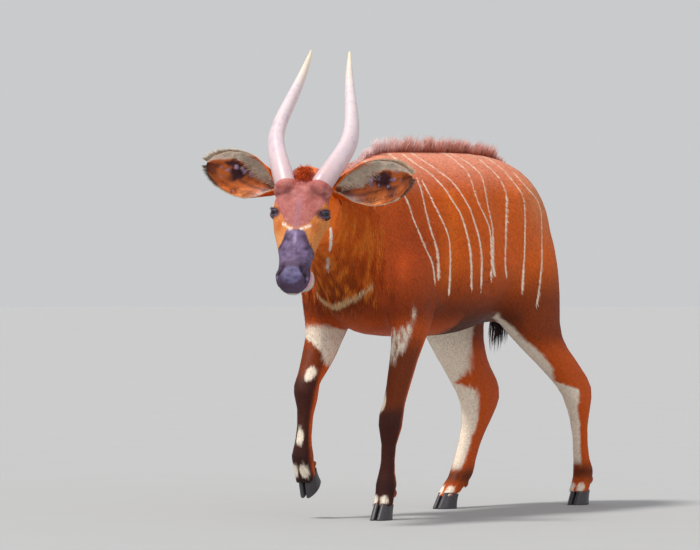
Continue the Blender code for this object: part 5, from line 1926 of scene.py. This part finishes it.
def muzzle_hair(ground):
    """Whiskers of the lips and chin, and the pale fringe of the upper lip."""
    local = in_face(ground.centres)
    on_muzzle = (local[:, 0] > 0.345) & (local[:, 0] < 0.45) & (np.abs(local[:, 1]) < 0.07)
    on_muzzle &= (local[:, 2] > -0.125) & (ground.centres[:, 2] > KNEES)
    sides = on_muzzle & (np.abs(local[:, 1]) > 0.022) & (local[:, 2] < -0.070)
    points, normals, uv = ground.roots(HAIR_SPACING["whiskers"], sides.astype(float))
    count = len(points)
    down = -HEAD_AXES[:, 2]
    heading = unit(normals + down * 0.5 + 0.25 * rng.normal(size=(count, 3)))
    tint = many(WHISKER_WHITE, count)
    size = hair_size("whiskers", count)
    bend = many(down * 0.4, count)
    long = blades("whiskers", points, heading, normals, size, bend, (tint, tint), uv, 3)
    lip = soft_spot((local[:, 2], -0.086, 0.0035)) * on_muzzle
    points, normals, uv = ground.roots(HAIR_SPACING["lip_fringe"], lip)
    count = len(points)
    heading = unit(normals * 0.35 + down + 0.15 * rng.normal(size=(count, 3)))
    tint = varied(many(FRINGE_WHITE, count), 0.08, 0.03)
    size = hair_size("lip_fringe", count)
    tints = (tint * 0.9, tint)
    return [long, blades("lip_fringe", points, heading, normals, size, -normals * 0.2, tints, uv)]


def round_eye(side, along, rise, radius):
    """Places on a ball round an eye: so far along its slit and so far up."""
    out, slit, up = eye_axes(side)
    deep = np.sqrt(np.maximum(radius**2 - along**2 - rise**2, 0))
    return eye_in_place(side) + np.outer(along, slit) + np.outer(rise, up) + np.outer(deep, out)


def make_eye(side, name):
    """A wet dark eyeball with a brown iris and a level pupil."""
    out, slit, up = eye_axes(side)
    centre = eye_in_place(side)
    deselect()
    bpy.ops.mesh.primitive_uv_sphere_add(segments=72, ring_count=96, radius=EYEBALL)
    obj = bpy.context.active_object
    obj.name = name
    local = points_of(obj.data)
    bulge = 1 + 0.035 * ease(local[:, 2] / EYEBALL, 0.72, 0.95)
    local = local * bulge[:, None]
    set_points(obj.data, centre + local @ np.array((slit, up, out)))
    level = local[:, 2] / EYEBALL
    around = np.arctan2(local[:, 1], local[:, 0])
    rays = 0.5 + 0.5 * np.sin(around * 23) * np.sin(around * 9 + 1)
    colour = many(EYE_BLACK, len(local))
    iris = ease(level, 0.60, 0.64)
    colour = blend(colour, IRIS_BROWN, iris * (0.55 + 0.45 * rays))
    pupil = (local[:, 0] / PUPIL[0]) ** 2 + (local[:, 1] / PUPIL[1]) ** 2
    colour = blend(colour, PUPIL_BLACK, (1 - ease(pupil, 0.8, 1.15)) * (level > 0))
    paint(obj, colour)
    obj.data.shade_smooth()
    return obj


def make_lid(side, name):
    """The dark wet rim round an eye, a ring that lies on the eyeball."""
    turns = np.linspace(0, 2 * math.pi, LID_STEPS, endpoint=False)
    along = EYE_LONG * 1.02 * np.sign(np.cos(turns)) * np.abs(np.cos(turns)) ** 1.12
    rise = EYE_HIGH * np.sin(turns) * np.where(np.sin(turns) > 0, 0.92, 0.98)
    path = round_eye(side, along, rise, EYEBALL)
    bm = bmesh.new()
    rings = []
    for i, point in enumerate(path):
        ahead = path[(i + 1) % LID_STEPS] - path[i - 1]
        ahead = ahead / np.linalg.norm(ahead)
        lift = (point - eye_in_place(side)) / EYEBALL
        across = np.cross(ahead, lift)
        thick = LID_THIN + LID_EXTRA * max(0.0, math.sin(turns[i]))
        ring = []
        for k in range(LID_ROUND):
            turn = 2 * math.pi * k / LID_ROUND
            reach = across * math.cos(turn) * 1.35 + lift * math.sin(turn)
            ring.append(bm.verts.new(point + reach * thick))
        rings.append(ring)
    for near, far in zip(rings, rings[1:] + rings[:1]):
        for k in range(LID_ROUND):
            n = (k + 1) % LID_ROUND
            bm.faces.new((near[k], near[n], far[n], far[k]))
    bmesh.ops.recalc_face_normals(bm, faces=bm.faces)
    obj = object_of(name, bm)
    paint(obj, many(LID_PLUM, len(obj.data.vertices)))
    obj.data.shade_smooth()
    return obj


def make_lip(name, rows, colour):
    """A soft roll of lip on the left of the mouth. Rows: along, across, out, radius."""
    rows = smooth_rows(rows, 6)
    path = out_of_face(rows[:, :3])
    turns = np.linspace(0, 2 * math.pi, 20, endpoint=False) + math.pi / 2
    out = HEAD_AXES[:, 2]
    rings = [ring_round(path, i, out, turns, row[3], row[3] * 0.8) for i, row in enumerate(rows)]
    obj = loft(name, rings)
    paint(obj, many(colour, len(obj.data.vertices)))
    obj.data.shade_smooth()
    unwrap(obj)
    return obj


def lip_hair(ground):
    """Short pale bristles on the hanging lip."""
    name = "lower_lip_hair"
    points, normals, uv = ground.roots(HAIR_SPACING[name])
    count = len(points)
    heading = unit(normals * 0.6 - HEAD_AXES[:, 2] * 0.8 + 0.2 * rng.normal(size=(count, 3)))
    tint = varied(many(BRISTLE_WHITE, count), 0.08, 0.03)
    size = hair_size(name, count)
    return blades(name, points, heading, normals, size, -normals * 0.2, (tint * 0.9, tint), uv)


def lashes(side, which):
    """Dark lashes along the upper lid."""
    out, slit, up = eye_axes(side)
    count = HAIR_COUNT["lashes"]
    turn = rng.uniform(0.25, 2.9, count)
    along = EYE_LONG * 0.95 * np.cos(turn)
    rise = EYE_HIGH * np.sin(turn)
    roots = round_eye(side, along, rise, EYEBALL + LASH_LIFT)
    fan = out * 0.9 + up * 0.55 + np.outer(along * 22, slit)
    heading = unit(fan + 0.12 * rng.normal(size=(count, 3)))
    tint = many(LASH_BLACK, count)
    size = hair_size("lashes", count)
    uv = np.column_stack((turn / 4, np.full(count, 0.5)))
    flat, bend = many(up, count), many(up * 0.45, count)
    return blades("lashes_" + which, roots, heading, flat, size, bend, (tint, tint), uv, 2)


def feed(tree, node, sources):
    """Joins sockets to a node's inputs, and sets the inputs that are given plain values."""
    for name, source in sources.items():
        if isinstance(source, bpy.types.NodeSocket):
            tree.links.new(source, node.inputs[name])
        else:
            node.inputs[name].default_value = source


def add_node(tree, kind, sources, operation=None):
    node = tree.nodes.new("ShaderNode" + kind)
    if operation:
        node.operation = operation
    feed(tree, node, sources)
    return node


def grain_group():
    """Shared by every hairy and horny material: streaks that lie along the given stretch."""
    group = bpy.data.node_groups.new("grain", "ShaderNodeTree")
    for way, name, kind in (
        ("INPUT", "Colour", "Color"),
        ("INPUT", "Stretch", "Vector"),
        ("INPUT", "Contrast", "Float"),
        ("INPUT", "Depth", "Float"),
        ("OUTPUT", "Colour", "Color"),
        ("OUTPUT", "Normal", "Vector"),
    ):
        group.interface.new_socket(name=name, in_out=way, socket_type="NodeSocket" + kind)
    given = group.nodes.new("NodeGroupInput").outputs
    where = add_node(group, "TexCoord", {}).outputs["Object"]
    scaled = add_node(group, "VectorMath", {0: where, 1: given["Stretch"]}, "MULTIPLY")
    noisy = {"Scale": 1.0, "Detail": 4.0, "Vector": scaled.outputs[0]}
    streaks = add_node(group, "TexNoise", noisy).outputs["Fac"]
    centred = add_node(group, "Math", {0: streaks, 1: 0.5}, "SUBTRACT").outputs[0]
    swing = add_node(group, "Math", {0: centred, 1: given["Contrast"], 2: 1.0}, "MULTIPLY_ADD")
    tinted = add_node(group, "VectorMath", {0: given["Colour"], "Scale": swing.outputs[0]}, "SCALE")
    raised = {"Distance": GRAIN_DEPTH, "Strength": given["Depth"], "Height": streaks}
    bump = add_node(group, "Bump", raised)
    put = group.nodes.new("NodeGroupOutput")
    feed(group, put, {"Colour": tinted.outputs[0], "Normal": bump.outputs["Normal"]})
    return group


def grained(name, group, stretch, contrast, depth, roughness, shine=0.5, coat=0.0, colour=None):
    """A material of one colour, or else of a piece's painted colours, seen through the grain."""
    made = bpy.data.materials.new(name)
    made.use_nodes = True
    tree = made.node_tree
    if colour is None:
        painted = add_node(tree, "Attribute", {})
        painted.attribute_name = "coat"
        source = painted.outputs["Color"]
    else:
        source = (*colour, 1)
    grain = tree.nodes.new("ShaderNodeGroup")
    grain.name = "grain"
    grain.node_tree = group
    feed(tree, grain, {"Stretch": stretch, "Contrast": contrast, "Depth": depth, "Colour": source})
    surface = {
        "Roughness": roughness,
        "Specular IOR Level": shine,
        "Coat Weight": coat,
        "Base Color": grain.outputs["Colour"],
        "Normal": grain.outputs["Normal"],
    }
    feed(tree, tree.nodes["Principled BSDF"], surface)
    return made


def horn_material(group):
    """Pale pinkish horn with faint lilac veins, yellowish towards the tip."""
    made = grained("horn_pale", group, (90, 90, 14), 0.10, 0.25, 0.36, coat=0.15, colour=HORN_PALE)
    tree = made.node_tree
    level = add_node(tree, "Attribute", {})
    level.attribute_name = "level"
    course = add_node(tree, "ValToRGB", {"Fac": level.outputs["Fac"]})
    ends = course.color_ramp.elements
    ends[0].color = (*HORN_PINK, 1)
    ends[1].color = (*HORN_TIP, 1)
    for place, colour in ((0.30, HORN_LILAC), (0.70, HORN_PALE)):
        ends.new(place).color = (*colour, 1)
    where = add_node(tree, "TexCoord", {}).outputs["Object"]
    noisy = {"Scale": 26, "Detail": 6, "Distortion": 1.6, "Vector": where}
    veins = add_node(tree, "TexNoise", noisy)
    limits = {"From Min": 0.52, "From Max": 0.72, "To Max": 0.42, "Value": veins.outputs["Fac"]}
    picked = add_node(tree, "MapRange", limits)
    mixed = tree.nodes.new("ShaderNodeMix")
    mixed.data_type = "RGBA"
    parts = {"Factor": picked.outputs["Result"], "A": course.outputs["Color"], "B": (*HORN_VEIN, 1)}
    feed(tree, mixed, parts)
    feed(tree, tree.nodes["grain"], {"Colour": mixed.outputs["Result"]})
    return made


def dress(obj, mat, slot, *nodes):
    """Gives a piece its material and hides the nodes that it stands for; the slot is not used."""
    obj.data.materials.clear()
    obj.data.materials.append(mat)
    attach(obj, "root")
    if nodes:
        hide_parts(*nodes)


def lay_floor():
    """A wide pale floor."""
    deselect()
    bpy.ops.mesh.primitive_circle_add(vertices=96, radius=FLOOR_RADIUS, fill_type="NGON")
    floor = bpy.context.active_object
    floor.name = "floor"
    made = bpy.data.materials.new("pale_floor")
    made.use_nodes = True
    tree = made.node_tree
    where = add_node(tree, "TexCoord", {}).outputs["Object"]
    cloud = add_node(tree, "TexNoise", {"Scale": 3.0, "Vector": where})
    tint = add_node(tree, "ValToRGB", {"Fac": cloud.outputs["Fac"]})
    for end, colour in zip(tint.color_ramp.elements, FLOOR_GREYS):
        end.color = (*colour, 1)
    surface = {"Roughness": 0.8, "Base Color": tint.outputs["Color"]}
    feed(tree, tree.nodes["Principled BSDF"], surface)
    floor.data.materials.append(made)


def add_sun(name, way, power, spread, colour):
    """Light from one side of the sky, softened over an angle in degrees."""
    lamp = bpy.data.lights.new(name, "SUN")
    lamp.angle = math.radians(spread)
    lamp.energy = power
    lamp.color = colour
    obj = add_object(name, lamp)
    obj.rotation_euler = Vector(way).to_track_quat("-Z", "Y").to_euler()


def light_studio():
    """Soft even daylight, a little brighter from the upper left of the picture."""
    world = bpy.data.worlds.new("studio")
    world.use_nodes = True
    sky = world.node_tree.nodes["Background"]
    sky.inputs["Color"].default_value = (*SKY, 1)
    sky.inputs["Strength"].default_value = SKY_STRENGTH
    bpy.context.scene.world = world
    bpy.context.scene.view_settings.view_transform = "Standard"
    for name, settings in SUNS.items():
        add_sun(name, *settings)


def set_camera():
    """The camera of the photograph."""
    lens = bpy.data.cameras.new("camera")
    lens.sensor_width = SENSOR_WIDTH
    lens.lens = FOCAL_PIXELS * SENSOR_WIDTH / FRAME_WIDTH
    lens.shift_y = -(FRAME_HEIGHT / 2 - AXIS_PIXEL[1]) / FRAME_WIDTH
    lens.clip_end = 200
    obj = add_object("camera", lens)
    obj.location = CAMERA_PLACE
    obj.rotation_euler = CAMERA_AHEAD.to_track_quat("-Z", "Y").to_euler()
    bpy.context.scene.camera = obj


def make_animal():
    group = grain_group()
    skin_mat = grained("coat_skin", group, (260, 90, 160), 0.9, 0.8, 0.55, shine=0.12)
    fur = grained("coat_tufts", group, (320, 120, 200), 0.45, 0.15, 0.44, shine=0.16)
    hair = grained("long_hair", group, (300, 300, 60), 0.45, 0.15, 0.42, shine=0.16)
    eye_mat = grained("wet_eye", group, (200, 200, 200), 0.1, 0.0, 0.07, shine=0.4)
    lid_mat = grained("lid_skin", group, (400, 400, 400), 0.5, 0.3, 0.32, coat=0.3)
    horn_mat = horn_material(group)
    hoof_mat = grained(
        "hoof_dark", group, (220, 220, 22), 1.1, 0.6, 0.42, coat=0.1, colour=HOOF_GREY
    )
    lip_mat = grained(
        "moist_pink", group, (300, 300, 300), 0.4, 0.2, 0.3, coat=0.4, colour=LIP_PINK
    )

    skin = make_skin()
    marks = Markings(tree_of(skin))
    refine(skin, marks.near_fine_marks, STRIPE_EDGE)
    unwrap(skin)
    skin.data.shade_smooth()
    paint(skin, marks.colour(points_of(skin.data)))
    dress(skin, skin_mat, "chestnut_coat", *FLESH)
    ground = Ground(skin)

    centres = ground.centres
    place = centres - ORIGIN
    head = ease(ahead_of_neck(centres), -0.005, 0.005)
    local = in_head(centres)
    eye_free = np.ones(len(centres))
    for side in (-1, 1):
        eye = eye_in_head(side)
        eye_free *= np.linalg.norm(local - eye, axis=1) > EYEBALL + 0.0045
    bare = marks.pad_share(centres) > 0.3
    nostril, _ = along_lines(np.abs(in_face(centres)) * (1, 1, -1), NOSTRIL)
    bare |= nostril < 0.0095
    low = ease(0.60 - place[:, 2], 0.0, 0.06) * (1 - head)
    trunk = (1 - head) * (1 - low)
    left = (place[:, 0] > 0).astype(float)
    fore = (place[:, 1] < 0.30).astype(float)
    regions = [
        (f"coat_{end}_{which}", trunk * half * quarter, TRUNK_TUFTS, "chestnut_coat")
        for end, quarter in (("fore", fore), ("hind", 1 - fore))
        for which, half in (("left", left), ("right", 1 - left))
    ]
    regions += [
        ("coat_forelegs", low * fore, LEG_TUFTS, "chestnut_coat"),
        ("coat_hindlegs", low * (1 - fore), LEG_TUFTS, "chestnut_coat"),
        ("coat_face", head * eye_free * ~bare, FACE_TUFTS, "face_coat"),
    ]
    for name, share, tufts, slot in regions:
        dress(short_coat(name, ground, marks, share, tufts), fur, slot)

    for piece in (
        make_mane(ground),
        poll_tuft(ground),
        chest_hair(ground, marks),
        neck_hair(ground, marks),
        *muzzle_hair(ground),
    ):
        dress(piece, hair, "chestnut_coat")

    tail = make_tail()
    dress(tail, skin_mat, "dark_coat", "tail")
    for piece in tail_hair(Ground(tail)):
        dress(piece, hair, "dark_coat")

    for side, which in ((1, "left"), (-1, "right")):
        dress(make_horn(side, "horn_shaft_" + which), horn_mat, "horn", "horn_" + which)
        dress(make_eye(side, "eyeball_" + which), eye_mat, "eye", "eye_" + which)
        dress(make_lid(side, "eyelid_" + which), lid_mat, "dark_coat")
        dress(lashes(side, which), hair, "dark_coat")
        dress(make_ear(side, "ear_leaf_" + which), skin_mat, "chestnut_coat", "ear_" + which)
        for piece in ear_hair(side, which):
            dress(piece, hair, "chestnut_coat")
        for leg, (sole, heading, pitch) in FEET.items():
            made = make_hoof(f"claw_{leg}_{which}", sole, heading, pitch, side)
            dress(made, hoof_mat, "hoof_horn", f"hoof_{leg}_{which}")
    dress(make_lip("inner_lip", INNER_LIP, LIP_PINK), lip_mat, "mouth")
    white_lip = make_lip("lower_lip", LOWER_LIP, GREY_CREAM)
    dress(white_lip, skin_mat, "face_coat")
    dress(lip_hair(Ground(white_lip)), hair, "face_coat")
    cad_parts["tongue"].material_slots[0].material = lip_mat


make_animal()
lay_floor()
light_studio()
set_camera()
